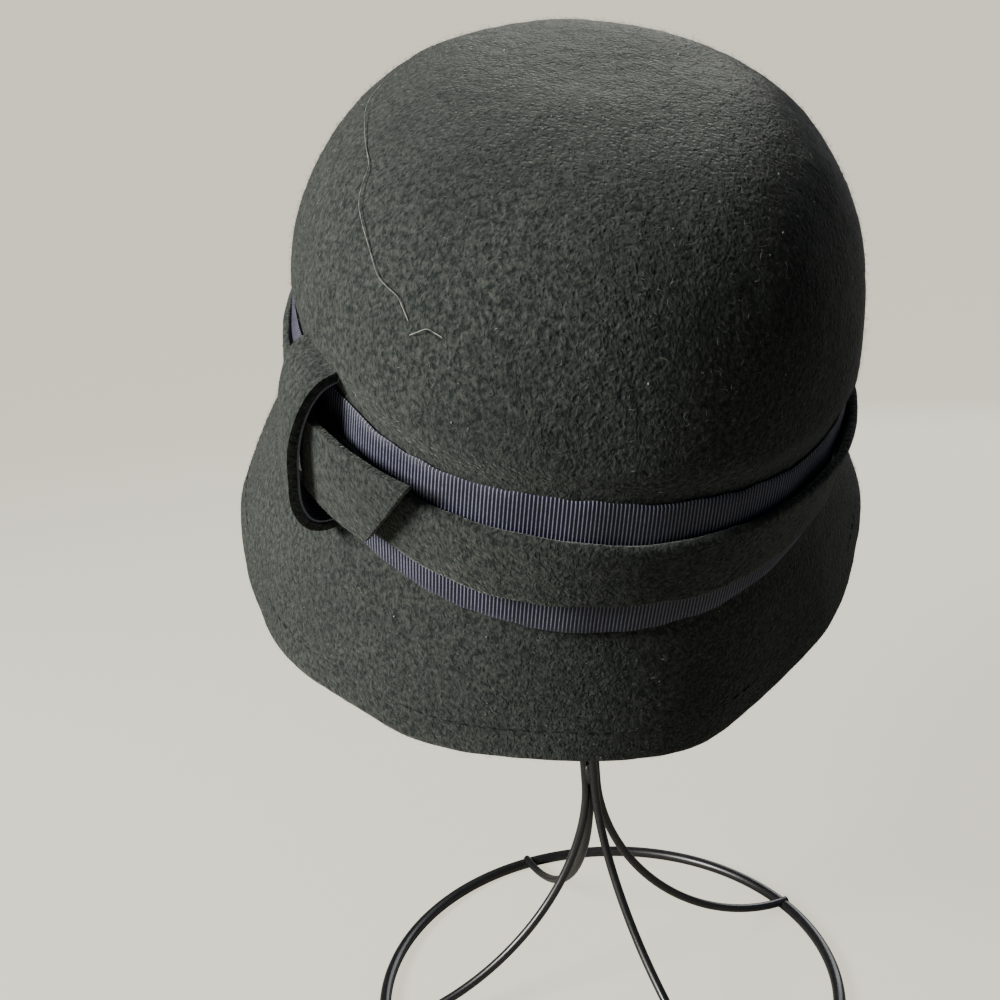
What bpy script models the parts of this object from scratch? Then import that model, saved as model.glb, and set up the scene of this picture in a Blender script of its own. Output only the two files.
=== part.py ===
"""A cloche hat of black felt on a wire stand.

The hat is one blocked shell of felt: a deep oval crown and a short brim that
falls from it, with a turned-up hem. A wide ribbon circles the crown, a felt band
lies over it, and at the side a felt loop with a ribbon lining holds a felt tab.
The stand is a wire ring with four legs that meet in a neck and open out again
into a balloon, whose top carries the crown.

Sizes are metres, +Z is up and the front of the hat faces -Y. Azimuths on the hat
are degrees from its front, positive towards +X.
"""

from collections import namedtuple
from math import asin, cos, exp, pi, radians, sin

import bmesh
import bpy
from mathutils import Euler, Matrix, Vector

# Felt and ribbon thicknesses, and the gap that touching pieces keep
FELT = 0.0024
RIBBON = 0.0008
GAP = 0.0003

# Where the hat sits above the stand, and how it leans
STAND_CENTRE = Vector((0.0058, -0.0033, 0.0))
HAT_BASE = STAND_CENTRE + Vector((-0.0014, 0.0059, 0.2056))
HAT_LEAN_FORWARD = 29.8
HAT_LEAN_SIDE = 6.1
HAT_TURN = -4.9

# Crown: an oval headline that rises to a full, rounded tip
HEAD_HALF_WIDTH = 0.0845
HEAD_HALF_LENGTH = 0.1031
CROWN_HEIGHT = 0.1152
CROWN_TAPER = 0.018
CROWN_POWER_UP = 3.59
CROWN_POWER_IN = 3.17

# A level that runs round the hat: its mean height, and what the front and the side add
Level = namedtuple("Level", "mean front side")
RIBBON_TOP = Level(0.0478, 0.0054, -0.0072)
RIBBON_TOP_DIP = 0.0028
RIBBON_TOP_DIP_AZIMUTH = -27.0
RIBBON_TOP_DIP_REACH = 16.0
RIBBON_FOOT = Level(0.0229, -0.0100, -0.0030)
RIBBON_FOOT_BACK_DROP = 0.0190
RIBBON_FOOT_DROPS_FROM = 70.0
BRIM_BREAK_BELOW_RIBBON = 0.0015

# The ribbon draws the crown in: how deep, and over what height above the ribbon
WAIST_DEPTH = 0.0026
WAIST_RAMP = 0.0100

# The felt band over the ribbon: how much ribbon shows above and below it
Exposure = namedtuple("Exposure", "azimuth above below")
EXPOSURES = (
    Exposure(-180, 0.0060, 0.0065),
    Exposure(-60, 0.0090, 0.0085),
    Exposure(-25, 0.0085, 0.0100),
    Exposure(8, 0.0102, 0.0110),
    Exposure(28, 0.0082, 0.0095),
    Exposure(60, 0.0045, 0.0075),
    Exposure(110, 0.0050, 0.0070),
    Exposure(180, 0.0060, 0.0065),
)
BAND_STAND_OFF = 0.0020
BAND_STAND_OFF_AZIMUTH = 57.0
BAND_STAND_OFF_REACH = 20.0
BAND_STAND_OFF_AT_MIDDLE = 0.35

# Brim: how far its edge stands out from the headline and falls below it
BrimSection = namedtuple("BrimSection", "azimuth flare drop")
BRIM = (
    BrimSection(-180, 0.0205, 0.0125),
    BrimSection(-150, 0.0225, 0.0130),
    BrimSection(-120, 0.0238, 0.0200),
    BrimSection(-90, 0.0234, 0.0300),
    BrimSection(-60, 0.0184, 0.0350),
    BrimSection(-30, 0.0124, 0.0284),
    BrimSection(0, 0.0091, 0.0248),
    BrimSection(30, 0.0101, 0.0288),
    BrimSection(60, 0.0142, 0.0262),
    BrimSection(90, 0.0186, 0.0150),
    BrimSection(120, 0.0205, 0.0100),
    BrimSection(150, 0.0212, 0.0115),
    BrimSection(180, 0.0205, 0.0125),
)
BRIM_BOW = 0.25
BRIM_DENT_AZIMUTH = 46.0
BRIM_DENT_REACH = 13.0
BRIM_DENT_DEPTH = 0.0032
HEM_WIDTH = 0.0095
HEM_THICKNESS = 0.0044
HEM_STEP = 0.0012
HEM_MIDDLE_RING = 0.4

# The felt loop round the bands, its lining, and the tab that it holds
LOOP_FRONT = -48.0
LOOP_BACK = -60.0
LOOP_TOP = 0.0598
LOOP_FOOT = 0.0165
LOOP_BULGE_FRONT = 0.0128
LOOP_BULGE_BACK = 0.0070
LOOP_HEIGHT_OF_BULGE = 0.40
LOOP_SQUARENESS = 2.6
LINING = 0.0006
TAB_ROOT = -55.0
TAB_END_TOP = -27.0
TAB_END_FOOT = -35.0
TAB_TOP = 0.0505
TAB_FOOT = 0.0280
TAB_LIFT_AT_LOOP = 0.0062
TAB_LIFT_AT_END = 0.0058

# Wire stand
BASE_RADIUS = 0.0813
BASE_WIRE = 0.0041
LEG_WIRE = 0.0030
LEG_AZIMUTHS = (23.0, 108.0, 193.0, 294.0)
LEG_OVERLAP = 1.02
LEG_CURVE = 1.79
LEG_RISE_ON_BASE = 0.0012
NECK_HEIGHT = 0.0790
NECK_LENGTH = 0.0085
NECK_RADIUS = 0.0021
WELD_RADIUS = 0.0016
WELD_STATIONS = (-0.3, 0.5, 1.3)
BALLOON_RADIUS = 0.0660
BALLOON_MIDDLE = 0.2150
BALLOON_TOP = 0.3228

# How finely the pieces are divided
AROUND = 64
CROWN_RINGS = 11
BRIM_RINGS = 4
EDGE_RINGS = 3
BAND_STATIONS = 10
STRAP_STEPS = 3
TAB_ROWS = 3
WIRE_SIDES = 6
BASE_SIDES = 8
BASE_SEGMENTS = 44
LEG_SEGMENTS = 14
BALLOON_SEGMENTS = 11


def clear_scene():
    """Removes every object that the file opened with."""
    for thing in list(bpy.data.objects):
        bpy.data.objects.remove(thing, do_unlink=True)


def material(name, colour, roughness, metallic=0.0):
    """A plain principled material."""
    made = bpy.data.materials.new(name)
    made.use_nodes = True
    shader = made.node_tree.nodes["Principled BSDF"]
    shader.inputs["Base Color"].default_value = (*colour, 1.0)
    shader.inputs["Roughness"].default_value = roughness
    shader.inputs["Metallic"].default_value = metallic
    return made


def height(level, azimuth):
    """The height of a level at an azimuth."""
    angle = radians(azimuth)
    return level.mean + level.front * cos(angle) + level.side * sin(angle)


def eased(part):
    """A share from 0 to 1 that starts and ends gently."""
    return part * part * (3 - 2 * part)


def between(rows, azimuth, field):
    """A field of a table round the hat, read smoothly between its rows."""
    for low, high in zip(rows, rows[1:]):
        if low.azimuth <= azimuth <= high.azimuth:
            share = eased((azimuth - low.azimuth) / (high.azimuth - low.azimuth))
            return getattr(low, field) * (1 - share) + getattr(high, field) * share
    raise ValueError(azimuth)


def swell(azimuth, centre, reach):
    """A smooth hump of height one round an azimuth."""
    away = (azimuth - centre + 180) % 360 - 180
    return exp(-((away / reach) ** 2))


def wall_scale(z):
    """How far in the crown stands at a height, against the headline."""
    part = min(max(z / CROWN_HEIGHT, 0.0), 1.0)
    return (1 - CROWN_TAPER * part) * (1 - part ** CROWN_POWER_UP) ** (1 / CROWN_POWER_IN)


def ribbon_top(azimuth):
    """The ribbon's upper edge, with its dip before the loop."""
    return height(RIBBON_TOP, azimuth) - RIBBON_TOP_DIP * swell(azimuth, RIBBON_TOP_DIP_AZIMUTH, RIBBON_TOP_DIP_REACH)


def waist(azimuth, z):
    """How far the ribbon draws the wall in at a height."""
    above = (z - ribbon_top(azimuth)) / WAIST_RAMP
    return WAIST_DEPTH * (1 - eased(min(max(above, 0.0), 1.0)))


def wall_point(azimuth, z, out=0.0):
    """A point at a distance outside the crown's wall."""
    angle = radians(azimuth)
    scale = wall_scale(z)
    away = out - waist(azimuth, z)
    return Vector((
        (HEAD_HALF_WIDTH * scale + away) * sin(angle),
        -(HEAD_HALF_LENGTH * scale + away) * cos(angle),
        z,
    ))


def ribbon_foot(azimuth):
    """The ribbon's lower edge, which comes down behind so that the ribbon keeps its width."""
    behind = max(abs(azimuth) - RIBBON_FOOT_DROPS_FROM, 0.0) / (180 - RIBBON_FOOT_DROPS_FROM)
    return height(RIBBON_FOOT, azimuth) - RIBBON_FOOT_BACK_DROP * eased(behind)


def break_height(azimuth):
    """Where the brim starts, just under the ribbon."""
    return ribbon_foot(azimuth) - BRIM_BREAK_BELOW_RIBBON


def band_top(azimuth):
    """The felt band's upper edge."""
    return ribbon_top(azimuth) - between(EXPOSURES, azimuth, "above")


def band_foot(azimuth):
    """The felt band's lower edge."""
    return ribbon_foot(azimuth) + between(EXPOSURES, azimuth, "below")


def brim_point(azimuth, part):
    """A point on the brim's outer face, from the break at 0 to the edge at 1."""
    start = break_height(azimuth)
    flare = between(BRIM, azimuth, "flare") + WAIST_DEPTH
    flare -= BRIM_DENT_DEPTH * swell(azimuth, BRIM_DENT_AZIMUTH, BRIM_DENT_REACH)
    out = flare * part * (1 + BRIM_BOW * (1 - part))
    z = start + part * (-between(BRIM, azimuth, "drop") - start)
    foot = wall_point(azimuth, start)
    angle = radians(azimuth)
    return Vector((foot.x + out * sin(angle), foot.y - out * cos(angle), z))


def skin_out(azimuth, z):
    """How far the brim stands out below the break; the crown's wall counts as none."""
    start = break_height(azimuth)
    part = max(start - z, 0.0) / (start + between(BRIM, azimuth, "drop"))
    return (between(BRIM, azimuth, "flare") + WAIST_DEPTH) * part * (1 + BRIM_BOW * (1 - part))


def azimuths():
    """The stations round the hat, from the back by the left to the back again."""
    return [-180 + 360 * step / AROUND for step in range(AROUND)]


def outer_column(azimuth):
    """The felt's outer face at an azimuth, from next to the tip down to the edge."""
    lowest = asin((ribbon_top(azimuth) / CROWN_HEIGHT) ** (CROWN_POWER_UP / 2))
    column = []
    for ring in range(1, CROWN_RINGS + 1):
        slope = pi / 2 + (lowest - pi / 2) * ring / CROWN_RINGS
        column.append(wall_point(azimuth, CROWN_HEIGHT * sin(slope) ** (2 / CROWN_POWER_UP)))
    for z in (band_top(azimuth), band_foot(azimuth), ribbon_foot(azimuth), break_height(azimuth)):
        column.append(wall_point(azimuth, z))
    length = (brim_point(azimuth, 1) - brim_point(azimuth, 0)).length
    hem = 1 - HEM_WIDTH / length
    for ring in range(1, BRIM_RINGS + 1):
        column.append(brim_point(azimuth, hem * ring / BRIM_RINGS))
    column.append(brim_point(azimuth, 1 - HEM_WIDTH * HEM_MIDDLE_RING / length))
    column.append(brim_point(azimuth, 1))
    return column


def outward(grid, column, ring):
    """The outer face's normal at a point of the grid."""
    across = grid[(column + 1) % AROUND][ring] - grid[column - 1][ring]
    upper = grid[column][max(ring - 1, 0)]
    lower = grid[column][min(ring + 1, len(grid[column]) - 1)]
    return across.cross(upper - lower).normalized()


def loft(mesh, rings):
    """Bridges closed rings of vertices with quads."""
    for low, high in zip(rings, rings[1:]):
        count = len(low)
        for step in range(count):
            after = (step + 1) % count
            mesh.faces.new((low[step], low[after], high[after], high[step]))


def cap_with_fan(mesh, ring, tip):
    """Closes a ring with triangles that meet at a tip."""
    for step, corner in enumerate(ring):
        mesh.faces.new((corner, ring[(step + 1) % len(ring)], tip))


def new_object(name, mesh, finish, smooth_angle=40.0):
    """Turns a bmesh into an object with its faces outward and shaded smooth."""
    bmesh.ops.recalc_face_normals(mesh, faces=mesh.faces)
    data = bpy.data.meshes.new(name)
    mesh.to_mesh(data)
    mesh.free()
    data.shade_smooth()
    data.set_sharp_from_angle(angle=radians(smooth_angle))
    data.materials.append(finish)
    made = bpy.data.objects.new(name, data)
    bpy.context.collection.objects.link(made)
    return made


def place_on_hat(thing):
    """Puts a piece modelled upright where the hat sits on the stand."""
    lean = Euler((radians(HAT_LEAN_FORWARD), 0, 0)).to_matrix() @ Euler((0, radians(HAT_LEAN_SIDE), 0)).to_matrix()
    turn = Matrix.Rotation(radians(HAT_TURN), 3, "Z")
    thing.matrix_world = Matrix.Translation(HAT_BASE) @ (lean @ turn).to_4x4()
    return thing


def felt_body(finish):
    """Crown and brim: one felt shell with a thicker hem along its edge."""
    grid = [outer_column(azimuth) for azimuth in azimuths()]
    last = len(grid[0]) - 1
    hem_ring = last - 2
    inner_rings = [hem_ring - 2, hem_ring - 4, hem_ring - 6, *range(CROWN_RINGS - 1, -1, -1)]
    mesh = bmesh.new()
    tip = mesh.verts.new((0, 0, CROWN_HEIGHT))
    rings = [[mesh.verts.new(column[ring]) for column in grid] for ring in range(last + 1)]
    edge_normals = [outward(grid, column, last) for column in range(AROUND)]
    for step in range(1, EDGE_RINGS + 1):
        turn = pi * step / (EDGE_RINGS + 1)
        ring = []
        for column, normal in enumerate(edge_normals):
            down = (grid[column][last] - grid[column][last - 1]).normalized()
            centre = grid[column][last] - normal * HEM_THICKNESS / 2
            ring.append(mesh.verts.new(centre + (normal * cos(turn) + down * sin(turn)) * HEM_THICKNESS / 2))
        rings.append(ring)
    for ring, depth in ((last, HEM_THICKNESS), (hem_ring, HEM_THICKNESS)):
        rings.append([
            mesh.verts.new(grid[column][ring] - outward(grid, column, ring) * depth) for column in range(AROUND)
        ])
    step_ring = []
    for column in range(AROUND):
        up = (grid[column][hem_ring - 1] - grid[column][hem_ring]).normalized()
        step_ring.append(mesh.verts.new(
            grid[column][hem_ring] + up * HEM_STEP - outward(grid, column, hem_ring) * FELT))
    rings.append(step_ring)
    for ring in inner_rings:
        rings.append([
            mesh.verts.new(grid[column][ring] - outward(grid, column, ring) * FELT) for column in range(AROUND)
        ])
    loft(mesh, rings)
    cap_with_fan(mesh, rings[0], tip)
    cap_with_fan(mesh, rings[-1], mesh.verts.new((0, 0, CROWN_HEIGHT - FELT)))
    return place_on_hat(new_object("felt_body", mesh, finish))


def closed_strip(name, section, finish):
    """A strip right round the hat, from a function that gives its section at an azimuth."""
    mesh = bmesh.new()
    loops = [[mesh.verts.new(point) for point in section(azimuth)] for azimuth in azimuths()]
    loft(mesh, loops + loops[:1])
    return place_on_hat(new_object(name, mesh, finish))


def ribbon_section(azimuth):
    """The wide ribbon's section: its inner face lies just off the crown."""
    levels = (ribbon_foot(azimuth), band_foot(azimuth), band_top(azimuth), ribbon_top(azimuth))
    inner = [wall_point(azimuth, z, GAP) for z in levels]
    outer = [wall_point(azimuth, z, GAP + RIBBON) for z in levels]
    return inner + outer[::-1]


def stand_off(azimuth):
    """How far the felt band's upper edge stands off the ribbon."""
    return BAND_STAND_OFF * swell(azimuth, BAND_STAND_OFF_AZIMUTH, BAND_STAND_OFF_REACH)


def band_section(azimuth):
    """The felt band's section: its upper edge leans away from the ribbon at one side."""
    seat = GAP + RIBBON + GAP
    foot = band_foot(azimuth)
    top = band_top(azimuth)
    middle = (foot + top) / 2
    lift = stand_off(azimuth)
    leans = ((foot, 0.0), (middle, lift * BAND_STAND_OFF_AT_MIDDLE), (top, lift))
    inner = [wall_point(azimuth, z, seat + lean) for z, lean in leans]
    outer = [wall_point(azimuth, z, seat + lean + FELT) for z, lean in leans]
    return inner + outer[::-1]


def loop_line(bulge_at_middle, out_of_line):
    """The loop's section as distances out and heights, moved outward from its inner face."""
    middle = LOOP_FOOT + (LOOP_TOP - LOOP_FOOT) * LOOP_HEIGHT_OF_BULGE
    line = []
    for step in range(BAND_STATIONS + 1):
        angle = pi * step / BAND_STATIONS - pi / 2
        reach = LOOP_TOP - middle if angle > 0 else middle - LOOP_FOOT
        swing = abs(sin(angle)) ** (2 / LOOP_SQUARENESS) * (1 if angle > 0 else -1)
        bulge = GAP + (bulge_at_middle - GAP) * max(cos(angle), 0.0) ** (2 / LOOP_SQUARENESS)
        line.append(Vector((bulge, middle + reach * swing)))
    moved = []
    for step, point in enumerate(line):
        along = line[min(step + 1, BAND_STATIONS)] - line[max(step - 1, 0)]
        normal = Vector((along.y, -along.x)).normalized()
        moved.append((max(point.x + normal.x * out_of_line, GAP), point.y + normal.y * out_of_line))
    return moved


def strap(name, inner, outer, finish):
    """A strap over the bands, as wide as the loop, between two distances from the loop's inner face."""
    mesh = bmesh.new()
    rings = []
    for step in range(STRAP_STEPS + 1):
        part = step / STRAP_STEPS
        azimuth = LOOP_BACK + (LOOP_FRONT - LOOP_BACK) * part
        bulge = LOOP_BULGE_BACK + (LOOP_BULGE_FRONT - LOOP_BULGE_BACK) * part
        outline = loop_line(bulge, inner) + loop_line(bulge, outer)[::-1]
        ring = [wall_point(azimuth, z, max(out, skin_out(azimuth, z) + GAP)) for out, z in outline]
        rings.append([mesh.verts.new(point) for point in ring])
    loft(mesh, rings)
    for ring in (rings[0], rings[-1]):
        for step in range(BAND_STATIONS):
            mesh.faces.new((ring[step], ring[step + 1], ring[-step - 2], ring[-step - 1]))
    return place_on_hat(new_object(name, mesh, finish))


def felt_loop(finish):
    """The felt keeper that arches over the bands and the tab."""
    return strap("felt_loop", 0.0, FELT, finish)


def loop_lining(finish):
    """The ribbon that lines the inside of the loop."""
    return strap("loop_lining", -GAP - LINING, -GAP, finish)


def tab_lift(part):
    """How far the tab's inner face stands off the crown, from its root at 0 to its end at 1."""
    seat = GAP + RIBBON + GAP + FELT + GAP
    at_loop = (LOOP_FRONT - TAB_ROOT) / (TAB_END_TOP - TAB_ROOT)
    if part < at_loop:
        return seat + (TAB_LIFT_AT_LOOP - seat) * eased(part / at_loop)
    return TAB_LIFT_AT_LOOP + (TAB_LIFT_AT_END - TAB_LIFT_AT_LOOP) * (part - at_loop) / (1 - at_loop)


def felt_tab(finish):
    """The felt tail that comes out of the loop and ends in a slanting cut."""
    mesh = bmesh.new()
    rings = []
    for step in range(BAND_STATIONS + 1):
        part = step / BAND_STATIONS
        lift = tab_lift(part)
        ring = []
        for side in (0, 1):
            for row in range(TAB_ROWS):
                across = row / (TAB_ROWS - 1) if side == 0 else 1 - row / (TAB_ROWS - 1)
                end = TAB_END_FOOT + (TAB_END_TOP - TAB_END_FOOT) * across
                z = TAB_FOOT + (TAB_TOP - TAB_FOOT) * across
                azimuth = TAB_ROOT + (end - TAB_ROOT) * part
                ring.append(mesh.verts.new(wall_point(azimuth, z, lift + side * FELT)))
        rings.append(ring)
    loft(mesh, rings)
    for ring in (rings[0], rings[-1]):
        for row in range(TAB_ROWS - 1):
            mesh.faces.new((ring[row], ring[row + 1], ring[-row - 2], ring[-row - 1]))
    return place_on_hat(new_object("felt_tab", mesh, finish))


def tube(points, radius, sides):
    """A closed round bar along points, as a bmesh."""
    mesh = bmesh.new()
    rings = []
    side_way = None
    for step, point in enumerate(points):
        along = (points[min(step + 1, len(points) - 1)] - points[max(step - 1, 0)]).normalized()
        if side_way is None:
            side_way = along.orthogonal()
        side_way = (side_way - along * side_way.dot(along)).normalized()
        other = along.cross(side_way)
        turns = [2 * pi * side / sides for side in range(sides)]
        rings.append([mesh.verts.new(point + (side_way * cos(turn) + other * sin(turn)) * radius) for turn in turns])
    loft(mesh, rings)
    mesh.faces.new(rings[0][::-1])
    mesh.faces.new(rings[-1])
    return mesh


def wire_route(azimuth):
    """One wire: from the base ring up the leg, through the neck and over the balloon."""
    angle = radians(azimuth)
    across = Vector((cos(angle), sin(angle), 0))
    floor = BASE_WIRE / 2 + LEG_RISE_ON_BASE
    points = []
    for step in range(LEG_SEGMENTS, -1, -1):
        turn = pi / 2 * step / LEG_SEGMENTS
        reach = NECK_RADIUS + (BASE_RADIUS * LEG_OVERLAP - NECK_RADIUS) * (1 - abs(cos(turn)) ** (2 / LEG_CURVE))
        rise = floor + (NECK_HEIGHT - floor) * (1 - sin(turn) ** (2 / LEG_CURVE))
        points.append(across * reach + Vector((0, 0, rise)))
    neck_top = NECK_HEIGHT + NECK_LENGTH
    for step in range(BALLOON_SEGMENTS + 1):
        part = step / BALLOON_SEGMENTS
        reach = NECK_RADIUS + (BALLOON_RADIUS - NECK_RADIUS) * (1 - cos(pi * part)) / 2
        points.append(across * reach + Vector((0, 0, neck_top + (BALLOON_MIDDLE - neck_top) * part)))
    for step in range(1, BALLOON_SEGMENTS + 1):
        turn = pi / 2 * step / BALLOON_SEGMENTS
        rise = BALLOON_MIDDLE + (BALLOON_TOP - BALLOON_MIDDLE) * sin(turn)
        points.append(across * BALLOON_RADIUS * cos(turn) + Vector((0, 0, rise)))
    return points


def base_ring(finish):
    """The base: a wire ring with a flat underside."""
    mesh = bmesh.new()
    flat = BASE_WIRE / 2 / cos(pi / BASE_SIDES)
    rings = []
    for segment in range(BASE_SEGMENTS):
        angle = 2 * pi * segment / BASE_SEGMENTS
        ring = []
        for side in range(BASE_SIDES):
            turn = 2 * pi * (side + 0.5) / BASE_SIDES
            reach = BASE_RADIUS + flat * cos(turn)
            ring.append(mesh.verts.new((reach * cos(angle), reach * sin(angle), BASE_WIRE / 2 + flat * sin(turn))))
        rings.append(ring)
    loft(mesh, rings + rings[:1])
    made = new_object("wire_stand", mesh, finish)
    made.location = STAND_CENTRE
    return made


def join_to(target, name, mesh, finish):
    """Welds a bar to the stand with a union."""
    part = new_object(name, mesh, finish)
    part.location = STAND_CENTRE
    part.hide_render = True
    part.display_type = "WIRE"
    union = target.modifiers.new(name, "BOOLEAN")
    union.operation = "UNION"
    union.solver = "EXACT"
    union.object = part


def wire_stand(finish):
    """The stand: base ring, four wires from it to the balloon's top, and the weld in the neck."""
    stand = base_ring(finish)
    for number, azimuth in enumerate(LEG_AZIMUTHS, 1):
        join_to(stand, f"wire_{number}", tube(wire_route(azimuth), LEG_WIRE / 2, WIRE_SIDES), finish)
    weld = [Vector((0, 0, NECK_HEIGHT + NECK_LENGTH * part)) for part in WELD_STATIONS]
    join_to(stand, "neck_weld", tube(weld, WELD_RADIUS, WIRE_SIDES), finish)
    return stand


def main():
    """Builds the hat and its stand."""
    clear_scene()
    felt = material("black_felt", (0.016, 0.018, 0.018), 0.95)
    navy = material("navy_ribbon", (0.016, 0.020, 0.055), 0.6)
    wire = material("black_wire", (0.010, 0.010, 0.011), 0.35, 0.6)
    felt_body(felt)
    closed_strip("ribbon_band", ribbon_section, navy)
    closed_strip("felt_band", band_section, felt)
    felt_loop(felt)
    loop_lining(navy)
    felt_tab(felt)
    wire_stand(wire)


main()
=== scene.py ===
"""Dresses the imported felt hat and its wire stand, with its light, floor and camera.

Sizes are metres, +Z is up and the hat's front faces -Y. Azimuths on the hat are degrees
from its front, positive towards +X. The hat's pieces are modelled upright, as on the
block, and then leaned to where the hat sits on the stand.
"""

import logging
import math
from collections.abc import Callable, Sequence
from dataclasses import dataclass, field
from enum import Enum
from typing import NamedTuple

import bpy
import numpy as np
from mathutils import Euler, Matrix, Vector, noise

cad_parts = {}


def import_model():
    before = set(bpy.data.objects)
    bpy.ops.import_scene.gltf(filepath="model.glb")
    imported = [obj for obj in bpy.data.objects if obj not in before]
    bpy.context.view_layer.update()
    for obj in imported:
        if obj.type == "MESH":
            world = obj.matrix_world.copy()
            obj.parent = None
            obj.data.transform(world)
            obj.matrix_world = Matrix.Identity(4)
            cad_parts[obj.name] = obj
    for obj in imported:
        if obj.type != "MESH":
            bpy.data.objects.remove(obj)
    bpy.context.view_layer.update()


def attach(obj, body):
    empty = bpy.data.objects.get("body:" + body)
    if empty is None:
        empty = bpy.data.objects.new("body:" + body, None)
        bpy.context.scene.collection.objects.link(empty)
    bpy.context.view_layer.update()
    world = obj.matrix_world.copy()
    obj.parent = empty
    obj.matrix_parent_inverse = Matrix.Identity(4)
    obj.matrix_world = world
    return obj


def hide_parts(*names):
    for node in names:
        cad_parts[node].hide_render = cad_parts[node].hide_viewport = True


LOG = logging.getLogger("hat")
SEED = 58
NodeLink = bpy.types.NodeSocket
Colour = tuple[float, float, float, float]


class Slot(Enum):
    """The record's finishes."""

    FELT = "black_felt"
    RIBBON = "navy_ribbon"
    WIRE = "black_wire"


class TrimRow(NamedTuple):
    """How much ribbon shows above and below the felt band at an azimuth."""

    azimuth: float
    above: float
    below: float


class BrimRow(NamedTuple):
    """How far the brim's edge stands out and falls at an azimuth."""

    azimuth: float
    flare: float
    drop: float


class ThreadPoint(NamedTuple):
    """A point of a loose thread on the crown: azimuth and height."""

    azimuth: float
    height: float


@dataclass(frozen=True)
class Level:
    """A line round the hat: its mean height, and what the front and the side add."""

    mean: float
    front: float
    side: float

    def at(self, azimuth: np.ndarray) -> np.ndarray:
        """Gives the line's height at azimuths."""
        angle = np.radians(azimuth)
        return self.mean + self.front * np.cos(angle) + self.side * np.sin(angle)


def eased(part: np.ndarray) -> np.ndarray:
    """Turns a share from 0 to 1 into one that starts and ends gently."""
    part = np.clip(part, 0.0, 1.0)
    return part * part * (3 - 2 * part)


def wrapped(azimuth: np.ndarray) -> np.ndarray:
    """Brings azimuths between -180 and 180 degrees."""
    return (np.asarray(azimuth, float) + 180.0) % 360.0 - 180.0


def swell(azimuth: np.ndarray, centre: float, reach: float) -> np.ndarray:
    """A smooth hump of height one round an azimuth."""
    return np.exp(-((wrapped(azimuth - centre) / reach) ** 2))


def read_round(rows: Sequence[NamedTuple], azimuth: np.ndarray, column: str) -> np.ndarray:
    """Reads a column of a table round the hat.

    Args:
        rows: The table, in order of azimuth from -180 to 180.
        azimuth: Where to read it.
        column: The column's name.

    Returns:
        The values, smooth between the rows.
    """
    stations = np.array([row.azimuth for row in rows])
    values = np.array([getattr(row, column) for row in rows])
    turned = wrapped(azimuth)
    low = np.clip(np.searchsorted(stations, turned, side="right") - 1, 0, len(rows) - 2)
    share = eased((turned - stations[low]) / (stations[low + 1] - stations[low]))
    return values[low] * (1 - share) + values[low + 1] * share


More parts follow.
